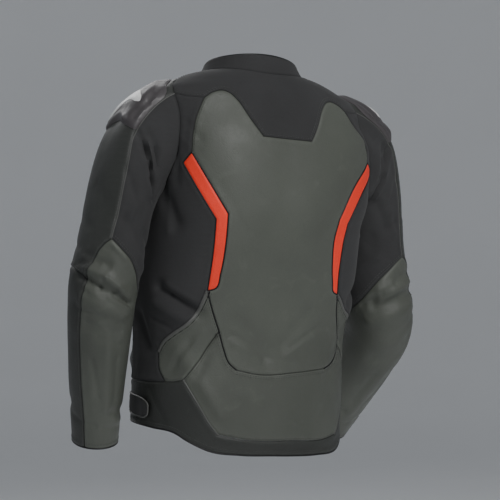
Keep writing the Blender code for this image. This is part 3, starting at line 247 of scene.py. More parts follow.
# Finer creases of the trunk, with the same columns: back, sides, fronts.
TRUNK_CREASES = (
    (18, -0.455, -16, -0.47, 0.005, -0.0012),
    (34, -0.42, 14, -0.446, 0.004, -0.0014),
    (33, -0.432, 12, -0.462, 0.004, 0.001),
    (-36, -0.412, -14, -0.444, 0.004, -0.0013),
    (-34, -0.428, -10, -0.458, 0.004, 0.0009),
    (46, -0.19, 30, -0.26, 0.011, -0.0012),
    (-44, -0.18, -30, -0.25, 0.011, -0.0012),
    (66, -0.092, 58, -0.12, 0.005, -0.0014),
    (70, -0.11, 62, -0.14, 0.005, 0.001),
    (-68, -0.095, -58, -0.125, 0.005, -0.0014),
    (71, -0.135, 69, -0.19, 0.006, -0.0022),
    (76, -0.205, 72, -0.262, 0.006, 0.002),
    (-71, -0.14, -69, -0.195, 0.006, -0.0022),
    (-76, -0.205, -71, -0.262, 0.006, 0.002),
    (76, -0.346, 67.5, -0.357, 0.0036, -0.002),
    (67.5, -0.357, 55, -0.381, 0.004, -0.0034),
    (70, -0.343, 56, -0.366, 0.0055, 0.003),
    (80, -0.395, 66, -0.412, 0.004, -0.002),
    (-84, -0.335, -62, -0.372, 0.005, -0.0022),
    (-78, -0.398, -66, -0.414, 0.004, -0.0018),
    (56, -0.43, 66, -0.48, 0.006, -0.002),
    (50, -0.415, 60, -0.462, 0.005, 0.002),
    (-54, -0.425, -64, -0.478, 0.006, -0.002),
    (54, -0.5, 40, -0.56, 0.006, -0.0012),
    (-50, -0.505, -40, -0.556, 0.006, -0.0012),
    (24, -0.52, -10, -0.53, 0.01, 0.001),
    (80, -0.512, 70, -0.56, 0.006, -0.0016),
    (-82, -0.512, -68, -0.56, 0.006, -0.0016),
    (110, -0.515, 106, -0.56, 0.005, -0.0014),
    (-110, -0.515, -106, -0.56, 0.005, -0.0014),
    (132, -0.13, 150, -0.17, 0.01, -0.0022),
    (-130, -0.13, -150, -0.175, 0.01, -0.0022),
    (170, -0.3, 128, -0.33, 0.009, -0.0022),
    (-168, -0.28, -130, -0.32, 0.009, -0.0022),
    (166, -0.345, 124, -0.378, 0.008, 0.002),
    (-164, -0.335, -126, -0.372, 0.008, 0.002),
    (168, -0.43, 140, -0.448, 0.006, -0.0018),
    (-168, -0.425, -138, -0.444, 0.006, -0.0018),
)
FOLD_RADIUS = 0.165  # turns an angle on the trunk into a distance between folds
FOLD_FADE = (-0.1, -0.06)  # heights over which the folds of the trunk fade out

# Folds of the sleeves.
# Columns: angle_from, share_from, angle_to, share_to, half_width, rise
LEFT_SLEEVE_FOLDS = (
    (62, 0.11, 98, 0.14, 0.01, -0.0035),
    (70, 0.3, 110, 0.36, 0.011, -0.0035),
    (26, 0.425, 62, 0.44, 0.007, -0.004),
    (30, 0.455, 96, 0.485, 0.008, 0.003),
    (14, 0.478, 122, 0.528, 0.007, -0.004),
    (24, 0.52, 104, 0.56, 0.01, 0.003),
    (40, 0.59, 96, 0.61, 0.01, -0.003),
    (78, 0.64, 84, 0.86, 0.009, 0.0028),
    (-150, 0.47, -80, 0.455, 0.01, -0.0065),
    (-140, 0.505, -70, 0.5, 0.01, 0.0045),
    (-130, 0.54, -76, 0.535, 0.009, -0.005),
    (-60, 0.24, -110, 0.3, 0.012, -0.0045),
    (100, 0.88, 170, 0.9, 0.009, -0.003),
    (-20, 0.87, -90, 0.89, 0.009, -0.003),
)
RIGHT_SLEEVE_FOLDS = (
    (66, 0.1, 100, 0.15, 0.01, -0.006),
    (76, 0.29, 120, 0.35, 0.012, -0.004),
    (34, 0.452, 80, 0.462, 0.008, -0.0045),
    (50, 0.47, 116, 0.482, 0.007, 0.0045),
    (30, 0.492, 130, 0.505, 0.007, -0.006),
    (60, 0.525, 140, 0.54, 0.01, 0.004),
    (60, 0.6, 120, 0.64, 0.011, -0.003),
    (84, 0.68, 90, 0.88, 0.01, 0.0028),
    (-160, 0.45, -76, 0.44, 0.011, -0.008),
    (-150, 0.485, -66, 0.485, 0.011, 0.006),
    (-150, 0.522, -74, 0.525, 0.01, -0.0075),
    (-60, 0.22, -112, 0.28, 0.012, -0.005),
    (110, 0.885, 176, 0.9, 0.009, -0.003),
    (-24, 0.865, -94, 0.885, 0.009, -0.003),
)
# Finer creases of both sleeves, with the same columns.
SLEEVE_CREASES = (
    (46, 0.556, 100, 0.584, 0.006, -0.0012),
    (60, 0.622, 108, 0.65, 0.006, -0.0014),
    (50, 0.7, 66, 0.82, 0.006, -0.0016),
    (100, 0.7, 104, 0.83, 0.007, -0.0016),
    (20, 0.5, 36, 0.506, 0.004, -0.002),
    (16, 0.55, 40, 0.56, 0.004, -0.0016),
    (58, 0.112, 73, 0.118, 0.005, -0.004),
    (73, 0.118, 90, 0.13, 0.005, -0.0064),
    (90, 0.13, 104, 0.148, 0.005, -0.007),
    (104, 0.148, 122, 0.181, 0.0055, -0.006),
    (64, 0.088, 84, 0.088, 0.005, -0.003),
    (84, 0.088, 98, 0.106, 0.005, -0.0046),
    (62, 0.124, 86, 0.138, 0.006, 0.0026),
    (86, 0.138, 112, 0.186, 0.007, 0.0034),
    (70, 0.103, 92, 0.112, 0.0045, 0.0022),
    (62, 0.196, 88, 0.245, 0.006, -0.0022),
    (90, 0.235, 76, 0.32, 0.007, 0.002),
    (110, 0.22, 96, 0.3, 0.008, -0.0026),
    (120, 0.33, 160, 0.37, 0.008, -0.003),
    (112, 0.395, 160, 0.425, 0.007, 0.0026),
    (10, 0.24, 36, 0.268, 0.007, -0.0012),
    (-30, 0.3, 10, 0.33, 0.008, -0.0012),
    (-40, 0.38, -4, 0.4, 0.006, -0.0014),
    (-132, 0.47, -92, 0.478, 0.0045, 0.0022),
    (-128, 0.52, -86, 0.518, 0.0045, -0.0022),
    (-70, 0.18, -120, 0.23, 0.008, -0.0026),
    (-60, 0.34, -120, 0.39, 0.008, -0.0026),
    (-40, 0.62, -90, 0.65, 0.007, -0.0018),
    (-110, 0.7, -150, 0.72, 0.007, -0.0018),
    (0, 0.9, 60, 0.918, 0.005, -0.0014),
    (80, 0.93, 150, 0.94, 0.005, -0.0014),
)
# Creases across each elbow, with the same columns: 1 is the left sleeve.
ELBOW_CREASES = {
    1: (
        (2, 0.449, 46, 0.441, 0.003, -0.002),
        (14, 0.43, 50, 0.428, 0.0045, 0.0014),
        (24, 0.458, 64, 0.468, 0.0034, 0.0022),
        (64, 0.468, 89, 0.485, 0.0034, 0.0026),
        (89, 0.485, 122, 0.524, 0.0034, 0.002),
        (9, 0.472, 37, 0.48, 0.003, -0.0036),
        (37, 0.48, 57, 0.492, 0.003, -0.0038),
        (57, 0.492, 84, 0.503, 0.003, -0.0032),
        (84, 0.503, 118, 0.53, 0.003, -0.0028),
        (60, 0.481, 88, 0.497, 0.0026, -0.002),
        (12, 0.488, 52, 0.506, 0.0036, 0.002),
        (74, 0.511, 120, 0.545, 0.0036, 0.002),
        (60, 0.378, 88, 0.414, 0.0042, 0.0018),
    ),
    -1: (
        (150, 0.503, 114, 0.484, 0.0032, -0.0026),
        (114, 0.484, 86, 0.47, 0.0032, -0.0024),
        (86, 0.47, 52, 0.462, 0.0034, -0.0016),
        (140, 0.489, 109, 0.472, 0.0036, 0.0016),
        (120, 0.499, 82, 0.482, 0.0036, 0.0018),
        (140, 0.528, 96, 0.516, 0.0045, -0.0014),
        (30, 0.476, 76, 0.492, 0.0036, -0.0018),
    ),
}
SLEEVE_RADIUS = 0.055  # turns an angle on a sleeve into a distance
SLEEVE_FOLD_FADE = (0.04, 0.12)  # shares over which the folds of a sleeve fade in
SLEEVE_CREASE_FADE = (0.03, 0.08)  # the same for the finer creases
SLEEVE_TURN = 170  # angles beyond this are the same as those from the other way round

# Collar, raised from the neck seam.
COLLAR_HEIGHTS = (0.031, 0.019, 0.03)  # at its back, sides and front
COLLAR_LEAN = 0.011  # how far its top leans in towards the neck at its back and sides
COLLAR_WALL = 0.0028
COLLAR_PAPER = (0.068, 0.04)  # radius and height of the collar when laid flat
COLLAR_ROWS = 8  # steps up the collar's ends
COLLAR_RELIEF = (0.6, 0.7)  # shares of the unevenness and of the seam relief on it
COLLAR_BINDING = 0.62  # radius of the binding along its top, in its wall's thickness

# Relief of a panel near its seams, and its slow unevenness.
SEAM_DIP = (0.001, 0.0013)  # depth and half width of the groove along a seam
STRETCH_DIP = 0.3  # share of that depth on the stretch cloth
SEAM_PUFF = (0.0008, 0.0045, 0.0032)  # height, distance and half width of the roll beside it
PUCKER = (0.00045, 0.012, 0.011)  # height, length and reach of the puckers along a seam
PUCKER_DRIFT = 1.7  # how unevenly the puckers are spaced
PUCKER_FADE = (4, 0.5)  # lengths of a pucker in a drift, and free of them at the seam
SWELL = (0.0011, 9)  # height of the slow unevenness, and waves a metre
RIPPLE = (0.00035, 34)  # height of the small unevenness, and waves a metre

# Sewing and piping.
STITCH = (0.0048, 0.0036, 0.00042)  # distance between stitches, length and radius of one
# Columns: share of the length, height and half width of the thread, both in its radius
STITCH_PROFILE = ((-0.5, -1, 0.45), (-0.36, 0.35, 0.9), (0, 0.75, 1), (0.36, 0.35, 0.9),
                  (0.5, -1, 0.45))
STITCH_SIDES = 6
STITCH_ROW = 0.0032  # distance of a row of stitches from its seam
SECOND_ROW = 0.0062  # distance of the second row where there are two
SLENDER = 0.4  # a piece that fills less of its rectangle than this is a bent strip
HEM_ROW = 0.0075  # distance of the row beside an open edge
PIPING_RADIUS = 0.0013
PIPING_SINK = 0.35  # share of the radius by which piping is sunk into the cloth
SLEEVE_PIPING = 0.75  # radius of the piping down the sleeve, in that of the trunk's
LUMBAR_PIPING = 1.4  # width over height of the piping below the lumbar panel
BAND_HALF_WIDTH = 0.003  # half width of the flat band over one seam
BAND_SHADE_LINES = 1.3  # distance of its dark lines from the seam, in that half width; these lines are painted shade
TUBE_SIDES = 8
EDGE_RADIUS = 0.0014  # radius of the turned edge of the hem, the cuffs and the collar

# Shoulder protector and the light insert in it: (angle, share) outlines on the outer sleeve.
CUP_OUTLINE = ((48.6, 0.012), (51.2, 0.05), (52, 0.085), (52.2, 0.113), (30, 0.124),
               (-6, 0.13), (-38, 0.12), (-52, 0.08), (-46, 0.026), (-20, 0.012),
               (14, 0.011))
INSERT_OUTLINE = ((20, 0.063), (31, 0.06), (35, 0.069), (26, 0.079), (8, 0.089),
                  (-14, 0.1), (-34, 0.108), (-38, 0.082), (-16, 0.068), (4, 0.064))
CUP_EDGE = 0.0028  # thickness of the protector at its edge
CUP_CROWN = 0.0062  # more thickness at its middle
CUP_DOME = 0.035  # distance from its edge over which the thickness grows
CUP_RIM = (0.0008, 0.0035)  # thickness at its very rim, and the bevel's width
CUP_SINK = 0.5  # share of the seam gap between it and the sleeve
CUP_LENGTH = CAP_PAPER[0] / 0.22  # turns a share of the sleeve into a distance on it
RIDGE_FADE = (0.001, 0.006)  # distances from its edge over which its ridges grow
INSERT_THICKNESS = 0.0012
INSERT_SINK = 0.0004  # how deep the insert is let in
INSERT_RIM = (0.35, 0.0022)  # share of its thickness at its edge, and the width that this takes
INSERT_PLAIN = 0.01  # keeps the lighter rim of the protector off the insert

# Ridges and hollows of the protector.
# Columns: angle_from, share_from, angle_to, share_to, half_width, rise
CUP_RIDGES = (
    (33, 0.034, 43, 0.054, 0.004, -0.0018),
    (43, 0.054, 41, 0.1, 0.0036, -0.0016),
    (46.5, 0.026, 47.5, 0.096, 0.003, 0.001),
    (24, 0.038, 34, 0.056, 0.0045, 0.0014),
    (36, 0.084, 18, 0.097, 0.006, -0.002),
    (40, 0.106, 24, 0.116, 0.0045, 0.0018),
    (24, 0.116, -20, 0.116, 0.0045, 0.0018),
    (-38, 0.05, -40, 0.105, 0.006, 0.0018),
    (4, 0.032, -30, 0.036, 0.006, 0.0014),
)

# Waist adjuster tab: (angle, height) outline on the hem band.
TAB_OUTLINE = ((79, -0.529), (100, -0.524), (124, -0.526), (124, -0.551),
               (100, -0.556), (79, -0.559))
TAB_THICKNESS = 0.0026
TAB_LIFT = 0.005  # how far its free rear end stands off
TAB_BEND = 14  # degrees over which the rear end leaves the band
TAB_RIM = (0.55, 0.003)  # share of its thickness at its edge, and the width that this takes
CORNER_CUT = (0.2, 0.8)  # shares of an outline's side where its corners are cut off
CORNER_ROUNDS = 3  # times that this is done

# Zip teeth: distance between the teeth of a row, width, length along the zip, and height.
TOOTH = (0.0026, 0.0034, 0.001, 0.0011)
TOOTH_ASIDE = 0.32  # distance of a row from the centre, in a tooth's width
# Columns: height of a tooth's ring of corners, as a share of its own, and the ring's size
TOOTH_RINGS = ((0.6, 1), (1, 0.6))
TOOTH_SINK = 0.0002  # how deep the teeth go into the tape
ZIP_LINE_STEPS = (160, 12)  # points of the zip's centre line on the trunk and on the collar

# Slider: its body starts at a share of its depth and tapers; a rib and a wire arch lie on it.
SLIDER_BODY = (0.42, 0.86, 0.0007)  # that share, the front's size and the edges' radius
SLIDER_RIB = ((0.36, 0.5, 0.5), 0.8, 0.0005)  # half size, the front's size, the edges' radius
ARCH_TURNS = (-0.12, 1.12, 14)  # from and to, in half turns, and points of the arch
ARCH_MIDDLE = (0.0018, 0.0002)  # distance of its middle behind and over the hinge
ARCH_RADIUS = 0.003
ARCH_WIRE = 0.0006

# Pull tab.  The lengths that follow its edge are in its half width.
PULL_EDGE = 0.0003  # radius of its edges
PULL_TOP = 0.8  # half width at its top
PULL_EYE = (0.4, 0.1)  # radius of the eye, and its height over the top arc's centre
PULL_GRIP = (0.45, 1.3, 1.1)  # half width and half length of the hollow, height over the foot's
PULL_FIT = (0.94, 0.97)  # shares of the solid's width and length that its outline fills
PULL_POINTS = (12, 20, 24)  # points of each end's arc, the eye and the hollow

# Studio.  Columns of the lights: name, azimuth, elevation, distance, size, power
MIDDLE = (0.005, 0, -0.292)  # middle of the jacket, which the camera and the lights face
LIGHTS = (
    ("key", 178, 34, 3.6, 1.5, 84),
    ("top", 172, 78, 3.2, 1.4, 6),
    ("rim", 52, 36, 3.6, 1, 8),
    ("front", 352, 34, 4, 2.6, 56),
)
SKY = (0.9, 0.94, 1)
SKY_STRENGTH = 0.22
FLOOR = -1.45
FLOOR_COLOUR = (0.88, 0.89, 0.9)
COVE_RADIUS = 9
COVE_CURVE = 2.5
COVE_HEIGHT = 6
COVE_STEPS = 16
STAGE_SIDES = 96
CAMERA_AZIMUTH = 151
CAMERA_DISTANCE = 5
FRAME_WIDTH = 0.83  # width that the picture covers at the jacket
SENSOR_WIDTH = 36
CLOUDS = (0.3, 0.7, 0, 1)  # values of slow noise, and the shares that they are taken to


def smoothstep(value, low, high):
    part = np.clip((value - low) / (high - low), 0.0, 1.0)
    return part * part * (3.0 - 2.0 * part)


def unit(vectors):
    return vectors / np.linalg.norm(vectors, axis=-1, keepdims=True)


def run_lengths(points):
    """Length run along a row of points to each of them."""
    return np.concatenate([[0.0], np.cumsum(np.linalg.norm(np.diff(points, axis=0), axis=1))])


def read_rows(at, keys, rows):
    """Rows of values, read between their keys."""
    return np.stack([np.interp(at, keys, column) for column in rows.T], axis=-1)


def all_round(count):
    """Turns in equal steps round a circle."""
    return np.linspace(0.0, 2.0 * math.pi, count, endpoint=False)


def smooth_rows(table, at):
    """Rows of a table, read along its first column through a smooth curve."""
    table = np.asarray(table, dtype=float)
    at = np.asarray(at, dtype=float)
    keys, rows = table[:, 0], table[:, 1:]
    slopes = np.gradient(rows, keys, axis=0)
    low = np.clip(np.searchsorted(keys, at) - 1, 0, len(keys) - 2)
    span = keys[low + 1] - keys[low]
    part = np.clip((at - keys[low]) / span, 0.0, 1.0)[..., None]
    span = span[..., None]
    one = 1.0 - part
    return (rows[low] * one * one * (1.0 + 2.0 * part)
            + rows[low + 1] * part * part * (3.0 - 2.0 * part)
            + slopes[low] * span * part * one * one
            - slopes[low + 1] * span * part * part * one)


def fold_rise(table, radius, length, across, along):
    """Height of the folds at points whose angle is across and whose height or share is along."""
    place = np.stack([np.radians(across) * radius, along * length], axis=-1)
    rise = np.zeros(place.shape[:-1])
    for angle_from, along_from, angle_to, along_to, half_width, height in table:
        start = np.array([math.radians(angle_from) * radius, along_from * length])
        end = np.array([math.radians(angle_to) * radius, along_to * length])
        run = end - start
        part = np.clip(((place - start) @ run) / (run @ run), 0.0, 1.0)
        away = np.linalg.norm(place - start - part[..., None] * run, axis=-1)
        rise = rise + height * np.exp(-(away / half_width) ** 2)
    return rise


def smooth_trunk(angle, height):
    """Outer surface of the trunk without its folds."""
    angle, height = np.broadcast_arrays(np.radians(angle), np.asarray(height, dtype=float))
    half_width, back, front, centre_y, square = np.moveaxis(smooth_rows(TRUNK, height), -1, 0)
    sine, cosine = np.sin(angle), np.cos(angle)
    depth = np.where(cosine > 0.0, back, front)
    radius = (np.abs(sine) / half_width) ** square + (np.abs(cosine) / depth) ** square
    radius = radius ** (-1.0 / square)
    x = radius * sine + LEAN * (1.0 - smoothstep(height, *LEAN_HEIGHTS))
    y = radius * cosine + centre_y
    tilt = SHOULDER_TILT * smoothstep(height, *TILT_HEIGHTS)
    slope = NECK_SLOPE * smoothstep(height, *NECK_HEIGHTS)
    rise = NECK_RISE * smoothstep(height, *RISE_HEIGHTS) * sine * sine
    return np.stack([x, y, height + tilt * x + slope * (y - NECK_LEVEL) + rise], axis=-1)


def normals(point, across, along, low, high, outward):
    """Unit normals of a surface given by a function of across (degrees) and along."""
    step_across, step_along = SLOPE_STEPS[0], SLOPE_STEPS[1] * (high - low)
    above, below = np.minimum(along + step_along, high), np.maximum(along - step_along, low)
    first = point(across + step_across, along) - point(across - step_across, along)
    second = point(across, above) - point(across, below)
    return unit(np.cross(second, first) * outward)


def armhole(angle, side):
    """Angle and height on the trunk of a point of the armhole seam; 0 is its top, 90 its back."""
    turn = np.radians(angle)
    round_trunk = 90.0 - ARMHOLE_HALF_ANGLE * np.sin(turn)
    return side * round_trunk, ARMHOLE_MIDDLE + ARMHOLE_HALF_HEIGHT * np.cos(turn)


def sleeve_stations(side):
    """The section table of a sleeve, and the length from the armhole to each section."""
    table = np.array(SLEEVE_LEFT if side > 0 else SLEEVE_RIGHT)
    return table, CAP_LENGTH + run_lengths(table[:, :3])


def arm_tube(angle, length, side):
    """A point of the tube round the arm, and the direction of the arm there."""
    table, stations = sleeve_stations(side)
    keyed = np.column_stack([stations, table])
    row = smooth_rows(keyed, length)
    ahead, behind = (smooth_rows(keyed, length + step) for step in (ARM_STEP, -ARM_STEP))
    along = unit(ahead[..., :3] - behind[..., :3])
    backward = unit(np.array([0.0, 1.0, 0.0]) - along * along[..., 1:2])
    outward = np.cross(along, backward)
    turn = np.radians(angle)
    point = (row[..., :3] + outward * (row[..., 3] * np.cos(turn))[..., None]
             + backward * (row[..., 4] * np.sin(turn))[..., None])
    return point, along


def smooth_sleeve(angle, share, side):
    """Outer surface of a sleeve without its folds; the cap blends the armhole into the tube."""
    angle, share = np.broadcast_arrays(np.asarray(angle, float), np.asarray(share, float))
    length = share * sleeve_stations(side)[1][-1]
    tube, _ = arm_tube(angle, np.maximum(length, CAP_LENGTH), side)
    low, along = arm_tube(angle, np.full(angle.shape, CAP_LENGTH), side)
    start = TRUNK_SURFACE.point(*armhole(angle, side)) * np.array([side, 1.0, 1.0])
    turn = np.radians(angle)
    first = unit(np.stack([CAP_OUT[0] + CAP_OUT[1] * np.cos(turn), 0.0 * turn,
                           CAP_UP[0] + CAP_UP[1] * np.cos(turn)], axis=-1))
    chord = np.linalg.norm(low - start, axis=-1, keepdims=True)
    part = np.clip(length / CAP_LENGTH, 0.0, 1.0)[..., None]
    one = 1.0 - part
    cap = (start * one * one * (1.0 + 2.0 * part) + low * part * part * (3.0 - 2.0 * part)
           + first * chord * CAP_PULL[side][0] * part * one * one
           - along * chord * CAP_PULL[side][1] * part * part * one)
    point = np.where((length < CAP_LENGTH)[..., None], cap, tube)
    return point * np.array([side, 1.0, 1.0])


class Surface:
    """A surface of (angle, along): low and high bound along, and side is -1 if it is mirrored."""

    low, high, side = 0.0, 1.0, 1

    def normal(self, angle, along):
        return normals(self.point, angle, along, self.low, self.high, self.side)

    def places(self, points):
        return self.point(points[:, 0], points[:, 1])

    def normals(self, points):
        return self.normal(points[:, 0], points[:, 1])

    def holds(self, points):
        return (points[:, 1] >= self.low) & (points[:, 1] <= self.high)


class Trunk(Surface):
    """The trunk as a surface of (angle, height)."""

    low, high = TRUNK[0][0], 0.0
    folds = TRUNK_FOLDS + TRUNK_CREASES

    def __init__(self):
        heights = np.linspace(self.low, self.high, PAPER_STEPS + 1)
        rows = smooth_rows(TRUNK, heights)
        girth = (rows[:, 0] + 0.5 * (rows[:, 1] + rows[:, 2])) / 2.0
        steps = np.hypot(np.diff(heights), np.diff(girth))
        self.heights = heights
        self.paper = np.concatenate([[0.0], np.cumsum(steps)])

    def point(self, angle, height):
        smooth = smooth_trunk(angle, height)
        rise = fold_rise(self.folds, FOLD_RADIUS, 1.0, angle, height)
        fade = 1.0 - smoothstep(height, *FOLD_FADE)
        normal = normals(smooth_trunk, angle, height, self.low, self.high, self.side)
        return smooth + normal * (rise * fade)[..., None]

    def flat(self, points):
        """Lays (angle, height) points out flat, in metres."""
        return np.column_stack([np.radians(points[:, 0]) * FOLD_RADIUS,
                                np.interp(points[:, 1], self.heights, self.paper)])

    def unflat(self, points):
        return np.column_stack([np.degrees(points[:, 0] / FOLD_RADIUS),
                                np.interp(points[:, 1], self.paper, self.heights)])


class Sleeve(Surface):
    """A sleeve as a surface of (angle, share); side is 1 on the left and -1 on the right."""

    def __init__(self, side):
        self.side = side
        self.total = sleeve_stations(side)[1][-1]
        self.folds = LEFT_SLEEVE_FOLDS if side > 0 else RIGHT_SLEEVE_FOLDS

    def smooth(self, angle, share):
        return smooth_sleeve(angle, share, self.side)

    def point(self, angle, share):
        wrapped = (np.asarray(angle) + SLEEVE_TURN) % 360.0 - SLEEVE_TURN
        rise = fold_rise(self.folds, SLEEVE_RADIUS, self.total, wrapped, share)
        rise = rise * smoothstep(share, *SLEEVE_FOLD_FADE)
        creases = SLEEVE_CREASES + ELBOW_CREASES[self.side]
        fine = fold_rise(creases, SLEEVE_RADIUS, self.total, wrapped, share)
        rise = rise + fine * smoothstep(share, *SLEEVE_CREASE_FADE)
        normal = normals(self.smooth, angle, share, self.low, self.high, self.side)
        return self.smooth(angle, share) + normal * rise[..., None]

    def chord(self, angle):
        """Length of the cap along the sleeve at an angle, as a maker's paper pattern has it."""
        return CAP_PAPER[0] + CAP_PAPER[1] * np.cos(np.radians(angle))

    def flat(self, points):
        angle, length = points[:, 0], points[:, 1] * self.total
        cap = -self.chord(angle) * (1.0 - length / CAP_LENGTH)
        return np.column_stack([np.radians(angle) * SLEEVE_RADIUS,
                                -np.where(length < CAP_LENGTH, cap, length - CAP_LENGTH)])

    def unflat(self, points):
        angle = np.degrees(points[:, 0] / SLEEVE_RADIUS)
        down = -points[:, 1]
        cap = CAP_LENGTH * (1.0 + down / self.chord(angle))
        return np.column_stack([angle, np.where(down < 0.0, cap, CAP_LENGTH + down)
                                / self.total])


class Collar(Surface):
    """The stand collar as a surface of (angle, share of its height)."""

    def point(self, angle, share):
        base = smooth_trunk(angle, np.zeros(np.shape(angle)))
        turn = np.radians(angle)
        back, side, front = COLLAR_HEIGHTS
        most = np.where(np.cos(turn) > 0.0, back, front)
        height = side + (most - side) * np.cos(turn) ** 2
        inward = np.stack([-np.sin(turn), -np.cos(turn), 0.0 * turn], axis=-1)
        upward = np.array([0.0, 0.0, 1.0])
        lean = COLLAR_LEAN * np.asarray(share) * np.where(np.cos(turn) > 0.0, 1.0,
                                                          np.sin(turn) ** 2)
        return base + upward * (height * share)[..., None] + inward * lean[..., None]

    def flat(self, points):
        radius, height = COLLAR_PAPER
        return np.column_stack([np.radians(points[:, 0]) * radius, points[:, 1] * height])

    def unflat(self, points):
        radius, height = COLLAR_PAPER
        return np.column_stack([np.degrees(points[:, 0] / radius), points[:, 1] / height])


TRUNK_SURFACE = Trunk()
COLLAR_SURFACE = Collar()
SLEEVES = {1: Sleeve(1), -1: Sleeve(-1)}
SIDE_NAMES = {1: "left", -1: "right"}


def smooth_curve(points, surface):
    """A smooth curve through points of a surface, in equal steps along the surface."""
    points = np.asarray(points, dtype=float)
    if len(points) == 2:
        shares = np.linspace(0.0, 1.0, CURVE_STEPS + 1)[:, None]
        fine = points[0] + (points[1] - points[0]) * shares
    else:
        keys = run_lengths(surface.flat(points))
        keyed = np.column_stack([keys, points])
        fine = smooth_rows(keyed, np.linspace(0.0, keys[-1], CURVE_STEPS * len(points)))
    run = run_lengths(surface.places(fine))
    count = max(1, round(run[-1] / SEAM_STEP))
    curve = read_rows(np.linspace(0.0, run[-1], count + 1), run, fine)
    curve[0], curve[-1] = points[0], points[-1]
    return curve


def zip_edge(height, side):
    """A point of the trunk at the edge of the front zip."""
    height = np.asarray(height, dtype=float)
    row = smooth_rows(TRUNK, height)
    angle = 180.0 - np.degrees(np.arcsin(ZIP_HALF_WIDTH / row[..., 2]))
    return np.stack([side * angle, height], axis=-1)


def armhole_run(start, end):
    """Degrees round the armhole from start to end, in steps that its two sides share."""
    count = abs(end - start) // ARMHOLE_STEP
    return np.linspace(start, end, count + 1)


def armhole_on_trunk(start, end, side):
    return np.column_stack(armhole(armhole_run(start, end), side))


def trunk_seams():
    """Every seam of the trunk by name, as an array of (angle, height) points."""
    seams = {}
    for name, points in CROSS_SEAMS.items():
        seams[name] = smooth_curve(points, TRUNK_SURFACE)
    for side, word in SIDE_NAMES.items():
        mirror = np.array([side, 1.0])
        own = {}
        for name, points in LEFT_SEAMS.items():
            points = np.array(points) * mirror
            if side < 0:
                points = RIGHT_SEAMS.get(name, points)
            own[name] = smooth_curve(points, TRUNK_SURFACE)
        top, meets = armhole(0.0, side), armhole(YOKE_MEETS, side)
        bottom = armhole(180.0, side)
        own["side_seam"][0] = bottom
        own["shoulder"] = smooth_curve(((side * 90.0, 0.0), top), TRUNK_SURFACE)
        own["yoke_arm"] = smooth_curve((own["lobe"][0], YOKE_ARM_MIDDLE * mirror, meets),
                                       TRUNK_SURFACE)
        own["arm_yoke"] = armhole_on_trunk(0, YOKE_MEETS, side)
        own["arm_back"] = armhole_on_trunk(YOKE_MEETS, 180, side)
        own["arm_front"] = armhole_on_trunk(180, 360, side)
        for name, first, last in (("neck_back", 0.0, side * 90.0),
                                  ("neck_front", side * 90.0, zip_edge(0.0, side)[0])):
            turns = np.linspace(first, last, NECK_STEPS + 1)
            own[name] = np.column_stack([turns, np.zeros(len(turns))])
        chest = zip_edge(np.linspace(LEFT_SEAMS["hem_front"][-1][1], 0.0, ZIP_STEPS), side)
        own["front_edge"] = smooth_curve(chest, TRUNK_SURFACE)
        own["hem_front"][-1] = chest[0]
        foot = zip_edge(np.array([LEFT_SEAMS["hem_edge"][0][1], chest[0][1]]), side)
        own["front_foot"] = smooth_curve(foot, TRUNK_SURFACE)
        own["hem_edge"][0] = foot[0]
        for name, points in own.items():
            seams[f"{name}_{word}"] = points
    return seams


def sleeve_seams(sleeve):
    table = SLEEVE_SEAMS if sleeve.side > 0 else SLEEVE_SEAMS | RIGHT_SLEEVE_SEAMS
    seams = {name: smooth_curve(points, sleeve) for name, points in table.items()}
    start, end = OUTER_MEETS
    for name, first, last in (("arm_outer", end, start), ("arm_back", start, end + 360)):
        turns = armhole_run(first, last)
        seams[name] = np.column_stack([turns, np.zeros(len(turns))])
    cuff_edge, cuff_under = SLEEVE_SEAMS["forearm_edge"][-1][0], SLEEVE_SEAMS["under"][-1][0]
    for name, first, last in (("cuff_grey", cuff_under + 360.0, cuff_edge),
                              ("cuff_dark", cuff_edge, cuff_under)):
        turns = np.linspace(first, last, CUFF_STEPS + 1)
        seams[name] = np.column_stack([turns, np.ones(len(turns))])
    for name in ("front", "inner_foot", "under"):
        seams[name + "_round"] = seams[name] + np.array([360.0, 0.0])
    return seams


def outline(seams, *names):
    """Joins seams end to end into one closed outline; a name after a minus runs backwards."""
    parts = []
    for name in names:
        run = seams[name.lstrip("-")]
        parts.append((run[::-1] if name.startswith("-") else run)[:-1])
    return np.concatenate(parts)


def inside(points, loop):
    """Which points lie inside a closed flat loop."""
    hit = np.zeros(len(points), dtype=bool)
    for (x0, y0), (x1, y1) in zip(loop, np.roll(loop, -1, axis=0)):
        crosses = (y0 > points[:, 1]) != (y1 > points[:, 1])
        if y1 != y0:
            edge = x0 + (points[:, 1] - y0) * (x1 - x0) / (y1 - y0)
            hit ^= crosses & (points[:, 0] < edge)
    return hit


def closed_runs(loop, step):
    """Points along a closed flat loop in short steps, with the length run to each."""
    ahead = np.roll(loop, -1, axis=0)
    lengths = np.linalg.norm(ahead - loop, axis=1)
    keys = np.concatenate([[0.0], np.cumsum(lengths)])
    ring = np.vstack([loop, loop[:1]])
    wanted = np.arange(0.0, keys[-1], step)
    return read_rows(wanted, keys, ring), wanted


def seam_field(points, loop):
    """Distance from flat points to a closed loop, and the length run along it to the nearest."""
    dense, runs = closed_runs(loop, FIELD_STEP)
    tree = kdtree.KDTree(len(dense))
    for k, (x, y) in enumerate(dense):
        tree.insert((x, y, 0.0), k)
    tree.balance()
    found = [tree.find((x, y, 0.0)) for x, y in points]
    return (np.array([hit[2] for hit in found]), runs[[hit[1] for hit in found]])


